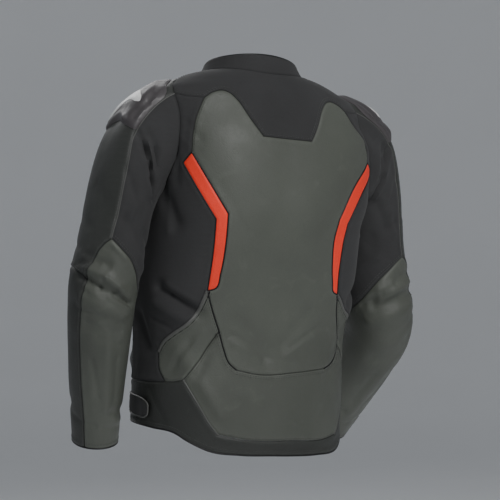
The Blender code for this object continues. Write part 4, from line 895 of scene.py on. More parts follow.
def ring_points(loop, distance, step):
    """Points inside a closed flat loop, at one distance from it."""
    dense, _ = closed_runs(loop, step)
    along = np.roll(dense, -1, axis=0) - np.roll(dense, 1, axis=0)
    across = unit(np.column_stack([-along[:, 1], along[:, 0]]))
    ahead = np.roll(loop, -1, axis=0)
    turning = np.sum(loop[:, 0] * ahead[:, 1] - ahead[:, 0] * loop[:, 1])
    ring = dense + across * distance * (1.0 if turning > 0.0 else -1.0)
    away, _ = seam_field(ring, loop)
    return ring[inside(ring, loop) & (away > RING_KEPT * distance)]


def triangles(surface, loop, marks=(), cell=CELL):
    """Cuts the area in a loop into triangles: their (angle, along) points and their corners.

    Each mark is a closed loop inside the area that the triangles' edges follow.
    """
    flat_loop = surface.flat(loop)
    flat_marks = [surface.flat(mark) for mark in marks]
    low, high = flat_loop.min(axis=0), flat_loop.max(axis=0)
    rows = np.arange(low[1], high[1], cell * ROW_PITCH)
    grid = np.array([(x + cell / 2.0 * (k % 2), y) for k, y in enumerate(rows)
                     for x in np.arange(low[0], high[0], cell)])
    grid = grid[inside(grid, flat_loop)]
    away, _ = seam_field(grid, flat_loop)
    ring_step = max(RING_STEP[0], RING_STEP[1] * cell)
    clouds = [ring_points(flat_loop, ring, ring_step) for ring in RINGS]
    clouds.append(grid[away > RINGS[-1] + GRID_CLEAR * cell])
    for mark in flat_marks:
        clouds = [cloud[seam_field(cloud, mark)[0] > MARK_CLEAR] if len(cloud) else cloud
                  for cloud in clouds]
    edges, count = [], len(loop)
    for mark in marks:
        edges += [(count + k, count + (k + 1) % len(mark)) for k in range(len(mark))]
        count += len(mark)
    known = np.concatenate([loop, *marks])
    flat = np.concatenate([flat_loop, *flat_marks, *clouds])
    spread, _, faces, origin, _, _ = delaunay_2d_cdt(
        [Vector(p) for p in flat], edges, [list(range(len(loop)))], 1, 1e-6, True)
    spread = np.array([tuple(vector) for vector in spread])
    points = surface.unflat(spread)
    for k, sources in enumerate(origin):
        for source in sources:
            if source < len(known):
                points[k] = known[source]
    faces = np.array(faces)
    return points, faces[inside(spread[faces].mean(axis=1), flat_loop)]


def seam_relief(away, run, groove=1.0):
    """Height beside a seam: a groove, the roll next to it and puckers that fade away from it."""
    dip, dip_width = SEAM_DIP
    puff, puff_at, puff_width = SEAM_PUFF
    height, length, reach = PUCKER
    drift, free = (share * length for share in PUCKER_FADE)
    wave = np.sin(2.0 * math.pi * run / length + PUCKER_DRIFT * np.sin(run / drift))
    near = 1.0 - np.exp(-(away / free) ** 2)
    return (-dip * groove * np.exp(-(away / dip_width) ** 2)
            + puff * np.exp(-((away - puff_at) / puff_width) ** 2)
            + height * wave * near * np.exp(-away / reach))


def unevenness(places):
    """Slow and small unevenness of the cloth at places."""
    rise = np.zeros(len(places))
    for height, waves in (SWELL, RIPPLE):
        rise += height * np.array([noise.noise(Vector(place) * waves) for place in places])
    return rise


def blend_normals(own, other):
    """Shares the wall's edge between two surfaces that meet, except in a sharp valley."""
    total = own + other
    facing = np.sum(own * other, axis=-1, keepdims=True) > VALLEY
    return np.where(facing, unit(total), own)


def trunk_normals(points):
    """Normals of trunk points, with those on an armhole shared with the sleeve."""
    normal = TRUNK_SURFACE.normals(points)
    for side, sleeve in SLEEVES.items():
        aside = (90.0 - side * points[:, 0]) / ARMHOLE_HALF_ANGLE
        above = (points[:, 1] - ARMHOLE_MIDDLE) / ARMHOLE_HALF_HEIGHT
        near = np.abs(np.hypot(aside, above) - 1.0) < 1e-5
        if near.any():
            turn = np.degrees(np.arctan2(aside[near], above[near]))
            normal[near] = blend_normals(normal[near], sleeve.normal(turn, np.zeros(len(turn))))
    return normal


def sleeve_normals(points, side):
    """Normals of sleeve points, with those on the armhole shared with the trunk."""
    normal = SLEEVES[side].normals(points)
    edge = points[:, 1] < 1e-9
    other = TRUNK_SURFACE.normal(*armhole(points[edge, 0], side))
    normal[edge] = blend_normals(normal[edge], other)
    return normal


def inset_seams(places, normal, faces):
    """Draws the open edge of a sheet back by half of the seam gap, and lists its edges."""
    half = {}
    for face in faces:
        for k in range(3):
            half[(face[k], face[(k + 1) % 3])] = True
    border = [edge for edge in half if (edge[1], edge[0]) not in half]
    after = {a: b for a, b in border}
    shift = np.zeros(places.shape)
    for before, here in border:
        ahead = after[here]
        first, second = places[here] - places[before], places[ahead] - places[here]
        sides = [np.cross(normal[here], run) for run in (first, second)]
        sides = [side / max(np.linalg.norm(side), 1e-9) for side in sides]
        together = max(1.0 + sides[0] @ sides[1], 0.1)
        shift[here] = (sides[0] + sides[1]) / together * (SEAM_GAP / 2.0)
    return shift, border


def put(name, data):
    """A new object of the scene."""
    item = bpy.data.objects.new(name, data)
    bpy.context.scene.collection.objects.link(item)
    return item


def finish(name, vertices, faces, look):
    """A named, smooth-shaded object of a mesh, with its material."""
    mesh = bpy.data.meshes.new(name)
    mesh.from_pydata(np.asarray(vertices).tolist(), [], [tuple(map(int, f)) for f in faces])
    mesh.update()
    mesh.shade_smooth()
    mesh.set_sharp_from_angle(angle=math.radians(SHARP_ANGLE))
    mesh.materials.append(look)
    return put(name, mesh)


def stand_for(item, node, body="root"):
    """Hides the solid that a piece stands for, and says what the piece rides with."""
    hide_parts(node)
    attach(item, body)


def face_areas(places, faces):
    """Twice the area of each triangle, as a vector that it faces along."""
    a, b, c = (places[faces[:, k]] for k in range(3))
    return np.cross(b - a, c - a)


def sheet_area(places, faces):
    return 0.5 * np.linalg.norm(face_areas(places, faces), axis=1).sum()


def cut_size(loop, area):
    """Width and length that a piece is cut from, and its flat area: the smallest rectangle
    round its outline, or for a bent strip its width and its length along the middle."""
    paper = abs(np.sum(loop[:, 0] * np.roll(loop[:, 1], -1)
                       - np.roll(loop[:, 0], -1) * loop[:, 1])) / 2.0
    loop = loop * math.sqrt(area / paper)
    sizes = []
    for turn in np.radians(np.arange(0.0, 90.0, FLAT_TURN)):
        turned = loop @ np.array([[math.cos(turn), -math.sin(turn)],
                                  [math.sin(turn), math.cos(turn)]])
        sizes.append(turned.max(axis=0) - turned.min(axis=0))
    size = min(sizes, key=lambda pair: pair[0] * pair[1])
    if area < SLENDER * size[0] * size[1]:
        half = 0.5 * np.linalg.norm(np.roll(loop, -1, axis=0) - loop, axis=1).sum()
        length = 0.5 * (half + math.sqrt(half * half - 4.0 * area))
        size = (area / length, length)
    return (float(size[0]), float(size[1])), float(area)


def wall(name, look, places, normal, faces, low, high, seam):
    """A closed shell from low to high above places, with its distance from the seam."""
    if np.sum(face_areas(places, faces) * normal[faces[:, 0]]) < 0.0:
        faces = faces[:, ::-1]
    shift, border = inset_seams(places, normal, faces)
    low, high = (np.broadcast_to(value, len(places))[:, None] for value in (low, high))
    count = len(places)
    sides = [(b, a, a + count, b + count) for a, b in border]
    body = faces.tolist()
    back = [(c + count, b + count, a + count) for a, b, c in body]
    vertices = np.concatenate([places + shift + normal * high, places + shift + normal * low])
    item = finish(name, vertices, body + back + sides, look)
    # Distance from the seam, from which the materials paint lighter edges (wear and painted
    # highlight) and painted shade in the seam groove.
    edge_wear_and_highlight = item.data.attributes.new("seam_distance", "FLOAT", "POINT")
    edge_wear_and_highlight.data.foreach_set("value", np.concatenate([seam, seam]).astype(np.float32))
    return item


def panel(name, slot, surface, loop, normal_of, marks=()):
    """A cloth piece for the solid of its name; returns its points for what lies on it."""
    cell = CELL * FINER.get(name.rsplit("_", 1)[0], 1.0)
    points, faces = triangles(surface, loop, marks, cell)
    flat, flat_loop = surface.flat(points), surface.flat(loop)
    away, run = seam_field(flat, flat_loop)
    places = surface.places(points)
    normal = normal_of(points)
    slow = unevenness(places)
    rise = slow + seam_relief(away, run, STRETCH_DIP if slot == "black_stretch" else 1.0)
    item = wall(name + "_cloth", LOOKS[slot], places, normal, faces,
                np.minimum(rise, slow) - WALL, rise, away)
    size, area = cut_size(flat_loop, sheet_area(places, faces))
    stand_for(item, name)
    return points, faces, places, normal, rise


def along_seam(surface, curve, offset, normal_of):
    """Places and normals along a seam, moved sideways on the surface by offset."""
    flat = surface.flat(curve)
    run = np.gradient(flat, axis=0)
    across = unit(np.column_stack([-run[:, 1], run[:, 0]]))
    points = surface.unflat(flat + across * offset)
    points = points[surface.holds(points)]
    return surface.places(points), normal_of(points)


def tube(places, normal, radius, closed=False, wide=1.0):
    """Vertices and faces of a tube along places, so many times as wide as high."""
    if closed:
        along = np.roll(places, -1, axis=0) - np.roll(places, 1, axis=0)
    else:
        along = np.gradient(places, axis=0)
    along = unit(along)
    across = unit(np.cross(along, normal))
    out = np.cross(across, along)
    turns = all_round(TUBE_SIDES)
    rings = (places[:, None, :]
             + radius * (wide * across[:, None, :] * np.cos(turns)[None, :, None]
                         + out[:, None, :] * np.sin(turns)[None, :, None]))
    count, sides = len(places), TUBE_SIDES
    faces = []
    for k in range(count if closed else count - 1):
        for j in range(sides):
            here, there = k * sides, (k + 1) % count * sides
            faces.append((here + j, there + j, there + (j + 1) % sides, here + (j + 1) % sides))
    if not closed:
        faces.append(tuple(range(sides)))
        faces.append(tuple((count - 1) * sides + j for j in reversed(range(sides))))
    return rings.reshape(-1, 3), faces


def joined(parts):
    """Vertices and faces of several meshes as one."""
    vertices, faces, count = [], [], 0
    for own, own_faces in parts:
        vertices.append(own)
        faces += [tuple(v + count for v in face) for face in own_faces]
        count += len(own)
    return np.concatenate(vertices), faces


def add_trim(name, look, parts):
    """Several small meshes as one piece that rides with the jacket."""
    item = finish(name, *joined(parts), look)
    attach(item, "root")


def stitch_row(places, normal):
    """A row of stitches along places: each is a short thread whose ends go into the cloth."""
    run = run_lengths(places)
    pitch, length, radius = STITCH
    centres = np.arange(0.5 * pitch, run[-1], pitch)
    if not len(centres):
        return None
    shares, lifts, widths = np.array(STITCH_PROFILE).T
    lifts, widths = lifts * radius, widths * radius
    turns = all_round(STITCH_SIDES)
    wanted = centres[:, None] + shares[None, :] * length
    line, up = read_rows(wanted, run, places), read_rows(wanted, run, normal)
    across = unit(np.cross(line[:, -1:] - line[:, :1], up))
    rings = (line[:, :, None] + up[:, :, None] * (lifts[None, :, None, None]
             + widths[None, :, None, None] * np.sin(turns)[None, None, :, None])
             + across[:, :, None] * widths[None, :, None, None]
             * np.cos(turns)[None, None, :, None])
    count, rows, sides = rings.shape[:3]
    faces = []
    for k in range(count):
        base = k * rows * sides
        for row in range(rows - 1):
            for j in range(sides):
                here, there = base + row * sides, base + (row + 1) * sides
                faces.append((here + j, here + (j + 1) % sides, there + (j + 1) % sides, there + j))
        faces.append(tuple(base + j for j in reversed(range(sides))))
        faces.append(tuple(base + (rows - 1) * sides + j for j in range(sides)))
    return rings.reshape(-1, 3), faces


class Look:
    """A material made of nodes round one Principled shader."""

    def __init__(self, name, roughness, metallic=0.0, **constants):
        self.material = bpy.data.materials.new(name)
        self.material.use_nodes = True
        self.tree = self.material.node_tree
        self.shader = self.tree.nodes["Principled BSDF"]
        self.shader.inputs["Roughness"].default_value = roughness
        self.shader.inputs["Metallic"].default_value = metallic
        for socket, value in constants.items():
            self.shader.inputs[socket.replace("_", " ")].default_value = value
        self.place = self.node("ShaderNodeTexCoord").outputs["Object"]

    def node(self, kind, **settings):
        made = self.tree.nodes.new(kind)
        for key, value in settings.items():
            setattr(made, key, value)
        return made

    def join(self, source, socket):
        self.tree.links.new(source, socket)

    def noise(self, scale, detail=2.0, distortion=0.0, stretch=None):
        """Smooth noise of that many waves a metre."""
        made = self.node("ShaderNodeTexNoise")
        made.inputs["Scale"].default_value = scale
        made.inputs["Detail"].default_value = detail
        made.inputs["Distortion"].default_value = distortion
        place = self.place
        if stretch:
            mapping = self.node("ShaderNodeMapping")
            mapping.inputs["Scale"].default_value = stretch
            self.join(place, mapping.inputs["Vector"])
            place = mapping.outputs["Vector"]
        self.join(place, made.inputs["Vector"])
        return made.outputs["Fac"]

    def cells(self, scale):
        """Distance to the nearest of many scattered points, that many a metre."""
        made = self.node("ShaderNodeTexVoronoi")
        made.inputs["Scale"].default_value = scale
        made.inputs["Randomness"].default_value = 1.0
        self.join(self.place, made.inputs["Vector"])
        return made.outputs["Distance"]

    def ribs(self, scale, direction):
        made = self.node("ShaderNodeTexWave", bands_direction=direction)
        made.inputs["Scale"].default_value = scale
        made.inputs["Distortion"].default_value = 0.6
        self.join(self.place, made.inputs["Vector"])
        return made.outputs["Fac"]

    def spread(self, source, low, high, to_low, to_high):
        """Takes values from low..high to to_low..to_high."""
        made = self.node("ShaderNodeMapRange")
        for socket, value in zip(("From Min", "From Max", "To Min", "To Max"),
                                 (low, high, to_low, to_high)):
            made.inputs[socket].default_value = value
        self.join(source, made.inputs["Value"])
        return made.outputs["Result"]

    def maths(self, operation, first, second):
        made = self.node("ShaderNodeMath", operation=operation)
        for value, socket in zip((first, second), made.inputs):
            if isinstance(value, (int, float)):
                socket.default_value = value
            else:
                self.join(value, socket)
        return made.outputs["Value"]

    def mix(self, factor, first, second):
        """A colour between two colours, or between a colour and another mix."""
        made = self.node("ShaderNodeMix", data_type="RGBA")
        self.join(factor, made.inputs["Factor"])
        for value, socket in ((first, made.inputs[6]), (second, made.inputs[7])):
            if isinstance(value, tuple):
                socket.default_value = (*value, 1.0)
            else:
                self.join(value, socket)
        return made.outputs[2]

    def tint(self, base, source, limits, colour):
        """Mixes a colour into base by source; limits are as spread takes them."""
        return self.mix(self.spread(source, *limits), base, colour)

    def feed(self, socket, source):
        self.join(source, self.shader.inputs[socket])

    def seam(self):
        """Distance from the seam."""
        return self.node("ShaderNodeAttribute", attribute_name="seam_distance").outputs["Fac"]

    def bump(self, height, distance, strength=1.0, below=None):
        made = self.node("ShaderNodeBump")
        made.inputs["Distance"].default_value = distance
        made.inputs["Strength"].default_value = strength
        self.join(height, made.inputs["Height"])
        if below is not None:
            self.join(below, made.inputs["Normal"])
        return made.outputs["Normal"]


def tone(colour, factor):
    return tuple(min(1.0, value * factor) for value in colour)


def leather(name, colour, roughness, wear_and_highlight):
    """Grained leather: pebbles, fine creases, uneven colour, lighter edges beside the seams that
    are part wear and part painted highlight, and painted shade in the seam groove.
    """
    look = Look(name, roughness, Specular_IOR_Level=0.32)
    base = look.tint(tone(colour, 0.86), look.noise(6.0, 4.0), CLOUDS, tone(colour, 1.14))
    base = look.tint(base, look.cells(620.0), (0.0, 0.35, 0.45, 0.0), tone(colour, 0.45))
    rubbed = look.noise(34.0, 5.0, 0.6)
    base = look.tint(base, rubbed, (0.60, 0.78, 0.0, 0.35), tone(colour, 1.45))
    seam = look.seam()
    # Lighter edges within about 7.5 mm of the seams, patchy with the rubbed noise: part wear, part
    # painted highlight.
    edge = look.spread(seam, 0.0016, 0.0075, 1.0, 0.0)
    edge_wear_and_highlight = look.maths("MULTIPLY", edge, look.spread(rubbed, 0.35, 0.65, 0.35 * wear_and_highlight, wear_and_highlight))
    base = look.mix(edge_wear_and_highlight, base, tone(colour, 1.9))
    # Painted shade in the seam groove: darker within 1.4 mm of the seam. Trim without a seam
    # distance, such as the piping, takes this darkening all over as part of its colour.
    base = look.tint(base, seam, (0.0004, 0.0014, 0.75, 0.0), tone(colour, 0.25))
    look.feed("Base Color", base)
    look.feed("Roughness", look.spread(look.noise(22.0, 3.0), 0.3, 0.7, roughness - 0.06,
                                       roughness + 0.07))
    creases = look.noise(52.0, 4.0, 1.2)
    lines = look.maths("ABSOLUTE", look.maths("SUBTRACT", creases, 0.5), 0.0)
    lines = look.spread(lines, 0.0, 0.045, 0.0, 1.0)
    fine = look.bump(look.cells(900.0), 0.00022, 0.45)
    pebble = look.bump(look.noise(330.0, 3.0), 0.0004, 0.35, fine)
    look.feed("Normal", look.bump(lines, 0.00035, 0.28, pebble))
    return look.material


def stretch_cloth(name, colour, roughness):
    """Matt ribbed stretch cloth, with painted shade in the seam groove."""
    look = Look(name, roughness, Specular_IOR_Level=0.2, Sheen_Weight=0.05, Sheen_Roughness=0.6)
    base = look.tint(tone(colour, 0.84), look.noise(8.0, 4.0), CLOUDS, tone(colour, 1.18))
    fibre = look.noise(1500.0, 2.0, 0.0, (1.0, 1.0, 0.25))
    base = look.tint(base, fibre, (0.35, 0.75, 0.0, 0.35), tone(colour, 1.6))
    # Painted shade in the seam groove: darker within 1.4 mm of the seam.
    base = look.tint(base, look.seam(), (0.0004, 0.0014, 0.3, 0.0), tone(colour, 0.3))
    look.feed("Base Color", base)
    ribs = look.bump(look.ribs(150.0, "Z"), 0.0003, 0.30)
    look.feed("Normal", look.bump(look.noise(420.0, 3.0), 0.0003, 0.35, ribs))
    return look.material


def moulded_plastic(name, colour, roughness):
    """Finely textured plastic with lighter, rubbed patches and a lighter rim along its edge."""
    look = Look(name, roughness, Specular_IOR_Level=0.5)
    base = look.tint(tone(colour, 0.9), look.noise(14.0, 3.0), CLOUDS, tone(colour, 1.12))
    scuffs = look.noise(60.0, 6.0, 0.8, (1.0, 3.0, 1.0))
    base = look.tint(base, scuffs, (0.62, 0.8, 0.0, 0.4), tone(colour, 1.5))
    # A lighter rim within 3 mm of the edge.
    base = look.tint(base, look.seam(), (0.0002, 0.0030, 0.45, 0.0), tone(colour, 1.7))
    look.feed("Base Color", base)
    look.feed("Roughness", look.spread(look.noise(40.0, 4.0), 0.3, 0.7, roughness - 0.07,
                                       roughness + 0.10))
    look.feed("Normal", look.bump(look.noise(1300.0, 2.0), 0.00015, 0.35))
    return look.material


def woven(name, colour, roughness):
    """Woven tape or thread."""
    look = Look(name, roughness, Specular_IOR_Level=0.3)
    threads = look.maths("MULTIPLY", look.ribs(260.0, "X"), look.ribs(260.0, "Z"))
    look.feed("Base Color", look.tint(tone(colour, 0.7), threads, (0.1, 0.8, 0.0, 1.0),
                                      tone(colour, 1.25)))
    look.feed("Normal", look.bump(threads, 0.0002, 0.5))
    return look.material


def dark_metal(name, colour, roughness):
    """Lacquered zip metal, rubbed bright in patches."""
    look = Look(name, roughness, 0.9)
    look.feed("Base Color", look.tint(colour, look.noise(300.0, 4.0), (0.5, 0.75, 0.0, 0.6),
                                      tone(colour, 2.6)))
    look.feed("Normal", look.bump(look.noise(1500.0, 2.0), 0.00006, 0.4))
    return look.material


LOOKS = {
    "grey_leather": leather("grey_leather", (0.080, 0.086, 0.073), 0.52, 0.22),
    "black_leather": leather("black_leather", (0.034, 0.036, 0.033), 0.50, 0.25),
    "black_stretch": stretch_cloth("black_stretch", (0.034, 0.034, 0.0345), 0.86),
    "red_leather": leather("red_leather", (0.880, 0.045, 0.020), 0.46, 0.10),
    "protector_plastic": moulded_plastic("protector_plastic", (0.052, 0.047, 0.049), 0.44),
    "light_insert": moulded_plastic("light_insert", (0.720, 0.720, 0.710), 0.36),
    "zip_tape": woven("zip_tape", (0.020, 0.020, 0.021), 0.75),
    "zip_metal": dark_metal("zip_metal", (0.120, 0.120, 0.125), 0.35),
}
THREAD = woven("grey_thread", (0.070, 0.072, 0.068), 0.65)
PIPING = leather("black_piping", (0.016, 0.016, 0.017), 0.42, 0.0)
# Piping in a light grey that is painted highlight along the seams and the waist tabs' edges.
HIGHLIGHT_PIPING = leather("painted_highlight_piping", (0.200, 0.202, 0.190), 0.42, 0.0)

# Trunk pieces.  Columns: name, slot, what it hangs from, seams round it in order; a minus runs
# a seam backwards.
TRUNK_PIECES = (
    ("yoke", "black_stretch", "collar", "neck_back_left shoulder_left arm_yoke_left "
     "-yoke_arm_left lobe_left yoke_foot -lobe_right yoke_arm_right -arm_yoke_right "
     "-shoulder_right -neck_back_right"),
    ("back_panel", "grey_leather", "yoke", "-lobe_left back_edge_left stripe_inner_upper_left "
     "stripe_inner_lower_left back_lower_left back_corner_left back_foot -back_corner_right "
     "-back_lower_right -stripe_inner_lower_right -stripe_inner_upper_right -back_edge_right "
     "lobe_right -yoke_foot"),
    ("lumbar_panel", "grey_leather", "back_panel", "back_corner_left back_foot "
     "-back_corner_right side_lumbar_right lumbar_corner_right -lumbar_foot "
     "-lumbar_corner_left -side_lumbar_left"),
    ("hem_band", "black_leather", "lumbar_panel", "-hem_front_left -hem_black_left "
     "-hem_grey_left lumbar_corner_left lumbar_foot -lumbar_corner_right hem_grey_right "
     "hem_black_right hem_front_right -front_foot_right hem_edge_right -hem_edge_left "
     "front_foot_left"),
)
# Trunk pieces made on each side; SIDE stands for left or right.
SIDE_PIECES = (
    ("stripe", "red_leather", "back_panel", "stripe_end_SIDE stripe_outer_upper_SIDE "
     "stripe_outer_lower_SIDE -stripe_inner_lower_SIDE -stripe_inner_upper_SIDE"),
    ("back_side", "black_stretch", "yoke", "yoke_arm_SIDE arm_back_SIDE side_seam_SIDE "
     "-hem_black_SIDE -side_lower_SIDE -side_upper_SIDE -stripe_outer_lower_SIDE "
     "-stripe_outer_upper_SIDE -stripe_end_SIDE -back_edge_SIDE"),
    ("lower_side", "grey_leather", "back_side_SIDE", "back_lower_SIDE side_lumbar_SIDE "
     "hem_grey_SIDE -side_lower_SIDE -side_upper_SIDE"),
    ("front", "black_leather", "yoke", "neck_front_SIDE -front_edge_SIDE -hem_front_SIDE "
     "-side_seam_SIDE arm_front_SIDE -shoulder_SIDE"),
)
SLEEVE_PIECES = (
    ("sleeve_outer", "black_leather", "yoke", "arm_outer outer_back elbow_edge outer_foot "
     "-front"),
    ("sleeve_back", "black_stretch", "back_side_SIDE", "arm_back front_round "
     "inner_foot_round -elbow_top -outer_back"),
    ("sleeve_elbow", "grey_leather", "sleeve_back_SIDE", "elbow_top under_round cuff_grey "
     "-forearm_edge -elbow_edge"),
    ("sleeve_strip", "black_leather", "sleeve_outer_SIDE", "forearm_edge cuff_dark -under "
     "-inner_foot -outer_foot"),
)
# Rows of stitches.  Columns: seams, offsets to their sides; those on a side's seams are mirrored.
CROSS_ROWS = (
    ("yoke_foot lumbar_foot", (-STITCH_ROW,)),
    ("back_foot", (STITCH_ROW, SECOND_ROW)),
)
SIDE_ROWS = (
    ("back_edge side_lumbar side_lower hem_black", (-STITCH_ROW,)),
    ("yoke_arm back_lower lumbar_corner hem_grey hem_front side_seam shoulder", (STITCH_ROW,)),
    ("back_corner front_edge", (STITCH_ROW, SECOND_ROW)),
    ("lobe", (-STITCH_ROW, -SECOND_ROW)),
    ("side_upper hem_edge", (-HEM_ROW,)),
)
SLEEVE_ROWS = (
    ("outer_back elbow_edge forearm_edge outer_foot front", (STITCH_ROW,)),
    ("elbow_top", (-STITCH_ROW, -SECOND_ROW)),
    ("cuff_grey cuff_dark", (HEM_ROW,)),
)
# Seams with piping.  The light ones have a lighter colour that is painted highlight, where the
# seams of the real jacket catch the light.
# One seam lies under a flat light band with a dark line on each side, dark piping that is painted
# shade of the grooves beside the band.
# Columns: colour, seam, radius, width over height, offset to the seam's side
BAND_WIDE = BAND_HALF_WIDTH / PIPING_RADIUS
TRUNK_PIPING = (
    *(("dark", seam, PIPING_RADIUS, 1.0, 0.0)
      for seam in ("stripe_end", "stripe_outer_upper", "stripe_outer_lower",
                   "stripe_inner_upper", "stripe_inner_lower", "back_lower", "back_corner")),
    # Light piping: painted highlight along the lumbar corner seam and the band over the upper side
    # seam.
    ("light", "lumbar_corner", PIPING_RADIUS, LUMBAR_PIPING, 0.0),
    ("light", "side_upper", PIPING_RADIUS, BAND_WIDE, 0.0),
    # Painted shade: dark piping on each side of the band.
    ("dark", "side_upper", PIPING_RADIUS, 1.0, -BAND_SHADE_LINES * BAND_HALF_WIDTH),
    ("dark", "side_upper", PIPING_RADIUS, 1.0, BAND_SHADE_LINES * BAND_HALF_WIDTH),
    ("edge", "hem_edge", EDGE_RADIUS, 1.0, 0.0),
)


def build_trunk(seams, parts):
    """The cloth pieces of the trunk; keeps the hem band's points for the waist tabs."""
    tabs = [closed_curve(rounded(TAB_OUTLINE) * np.array([side, 1.0]), TRUNK_SURFACE)
            for side in SIDE_NAMES]
    for name, slot, above, names in TRUNK_PIECES:
        loop = outline(seams, *names.split())
        marks = tabs if name == "hem_band" else ()
        made = panel(name, slot, TRUNK_SURFACE, loop, trunk_normals, marks)
        if marks:
            for side, tab in zip(SIDE_NAMES, tabs):
                build_waist_tab(side, tab, *made, parts)
    for word in SIDE_NAMES.values():
        for name, slot, above, names in SIDE_PIECES:
            loop = outline(seams, *names.replace("SIDE", word).split())
            panel(f"{name}_{word}", slot, TRUNK_SURFACE, loop, trunk_normals)


def closed_curve(points, surface):
    """Points round a closed outline whose corners are kept."""
    runs = [smooth_curve((start, end), surface)[:-1]
            for start, end in zip(points, np.roll(points, -1, axis=0))]
    return np.concatenate(runs)


def rounded(points):
    """Cuts the corners of a closed outline until it is round."""
    points = np.asarray(points, dtype=float)
    for _ in range(CORNER_ROUNDS):
        ahead = np.roll(points, -1, axis=0)
        cuts = [points + (ahead - points) * share for share in CORNER_CUT]
        points = np.stack(cuts, axis=1).reshape(-1, 2)
    return points


def part_of(points, faces, surface, mark):
    """The triangles inside a mark, with only their own points: indices and renumbered faces."""
    flat = surface.flat(points)
    chosen = faces[inside(flat[faces].mean(axis=1), surface.flat(mark))]
    used, numbers = np.unique(chosen, return_inverse=True)
    return used, numbers.reshape(chosen.shape)


def tab_lift(points):
    """How far a waist tab stands off the band at points of the trunk."""
    rear = TAB_OUTLINE[0][0]
    return TAB_LIFT * (1.0 - smoothstep(np.abs(points[:, 0]), rear, rear + TAB_BEND))


def build_waist_tab(side, tab, points, faces, places, normal, rise, parts):
    """The waist adjuster's strap with a bound edge."""
    name = f"waist_tab_{SIDE_NAMES[side]}"
    used, own = part_of(points, faces, TRUNK_SURFACE, tab)
    away, _ = seam_field(TRUNK_SURFACE.flat(points[used]), TRUNK_SURFACE.flat(tab))
    low = rise[used] + SEAM_GAP + tab_lift(points[used])
    least, width = TAB_RIM
    high = low + TAB_THICKNESS * (least + (1.0 - least) * smoothstep(away, 0.0, width))
    item = wall(name + "_strap", LOOKS["black_stretch"], places[used], normal[used], own, low,
                high, away)
    stand_for(item, name)
    size, area = cut_size(TRUNK_SURFACE.flat(tab), sheet_area(places[used], own))
    loop, facing = TRUNK_SURFACE.places(tab), TRUNK_SURFACE.normals(tab)
    lift = unevenness(loop) + SEAM_GAP + tab_lift(tab) + 0.5 * TAB_THICKNESS
    # The binding takes the light piping colour: painted highlight along the tab's edge.
    parts["binding"].append(tube(loop + facing * lift[:, None], facing, 0.5 * TAB_THICKNESS,
                                 closed=True))


def build_sleeve(side, seams, parts):
    sleeve = SLEEVES[side]
    word = SIDE_NAMES[side]
    cup = closed_curve(rounded(CUP_OUTLINE), sleeve)
    insert = closed_curve(rounded(INSERT_OUTLINE), sleeve)
    for name, slot, above, names in SLEEVE_PIECES:
        marks = (cup, insert) if name == "sleeve_outer" else ()
        made = panel(f"{name}_{word}", slot, sleeve, outline(seams, *names.split()),
                     lambda points: sleeve_normals(points, side),
                     marks)
        if marks:
            build_cup(side, *made, cup, insert)


def build_cup(side, points, faces, places, normal, rise, cup, insert):
    """The moulded shoulder protector with its facets and bevelled rim, and the light insert."""
    word, sleeve = SIDE_NAMES[side], SLEEVES[side]
    flat = sleeve.flat(points)
    depth, _ = seam_field(flat, sleeve.flat(cup))
    top = SEAM_GAP + CUP_EDGE + CUP_CROWN * smoothstep(depth, 0.0, CUP_DOME)
    top = top - (CUP_EDGE - CUP_RIM[0]) * (1.0 - smoothstep(depth, 0.0, CUP_RIM[1]))
    ridges = fold_rise(CUP_RIDGES, SLEEVE_RADIUS, CUP_LENGTH, points[:, 0], points[:, 1])
    top = top + ridges * smoothstep(depth, *RIDGE_FADE)
    used, own = part_of(points, faces, sleeve, cup)
    shell = wall(f"shoulder_cup_{word}_shell", LOOKS["protector_plastic"], places[used],
                 normal[used], own, (rise + SEAM_GAP * CUP_SINK)[used], (rise + top)[used],
                 depth[used])
    stand_for(shell, f"shoulder_cup_{word}")
    inlay, own = part_of(points, faces, sleeve, insert)
    edge, _ = seam_field(flat[inlay], sleeve.flat(insert))
    least, width = INSERT_RIM
    low = (rise + top)[inlay] - INSERT_SINK
    high = (low + INSERT_THICKNESS * (least + (1.0 - least) * smoothstep(edge, 0.0, width))
            + INSERT_SINK)
    band = wall(f"cup_insert_{word}_shell", LOOKS["light_insert"], places[inlay], normal[inlay],
                own, low, high, edge + INSERT_PLAIN)
    stand_for(band, f"cup_insert_{word}")


def sew(surface, seams, table, normal_of, sign, word=""):
    """Rows of stitches beside the seams that a table names, on the finished surface."""
    rows = []
    for names, offsets in table:
        for name in names.split():
            for offset in offsets:
                places, normal = along_seam(surface, seams[name + word], offset * sign, normal_of)
                away = np.full(len(places), abs(offset))
                rise = unevenness(places) + seam_relief(away, 0.0 * away)
                row = stitch_row(places + normal * rise[:, None], normal)
                if row is not None:
                    rows.append(row)
    return rows


def pipe(surface, curve, normal_of, radius, closed=False, offset=0.0, wide=1.0):
    places, normal = along_seam(surface, curve, offset, normal_of)
    rise = unevenness(places) - PIPING_SINK * radius
    return tube(places + normal * rise[:, None], normal, radius, closed, wide=wide)


def sew_trunk(seams, parts):
    parts["stitches"] += sew(TRUNK_SURFACE, seams, CROSS_ROWS, trunk_normals, 1.0)
    for side, word in SIDE_NAMES.items():
        parts["stitches"] += sew(TRUNK_SURFACE, seams, SIDE_ROWS, trunk_normals, side, "_" + word)
        for colour, name, radius, wide, offset in TRUNK_PIPING:
            parts[colour].append(pipe(TRUNK_SURFACE, seams[f"{name}_{word}"], trunk_normals,
                                      radius, offset=offset, wide=wide))


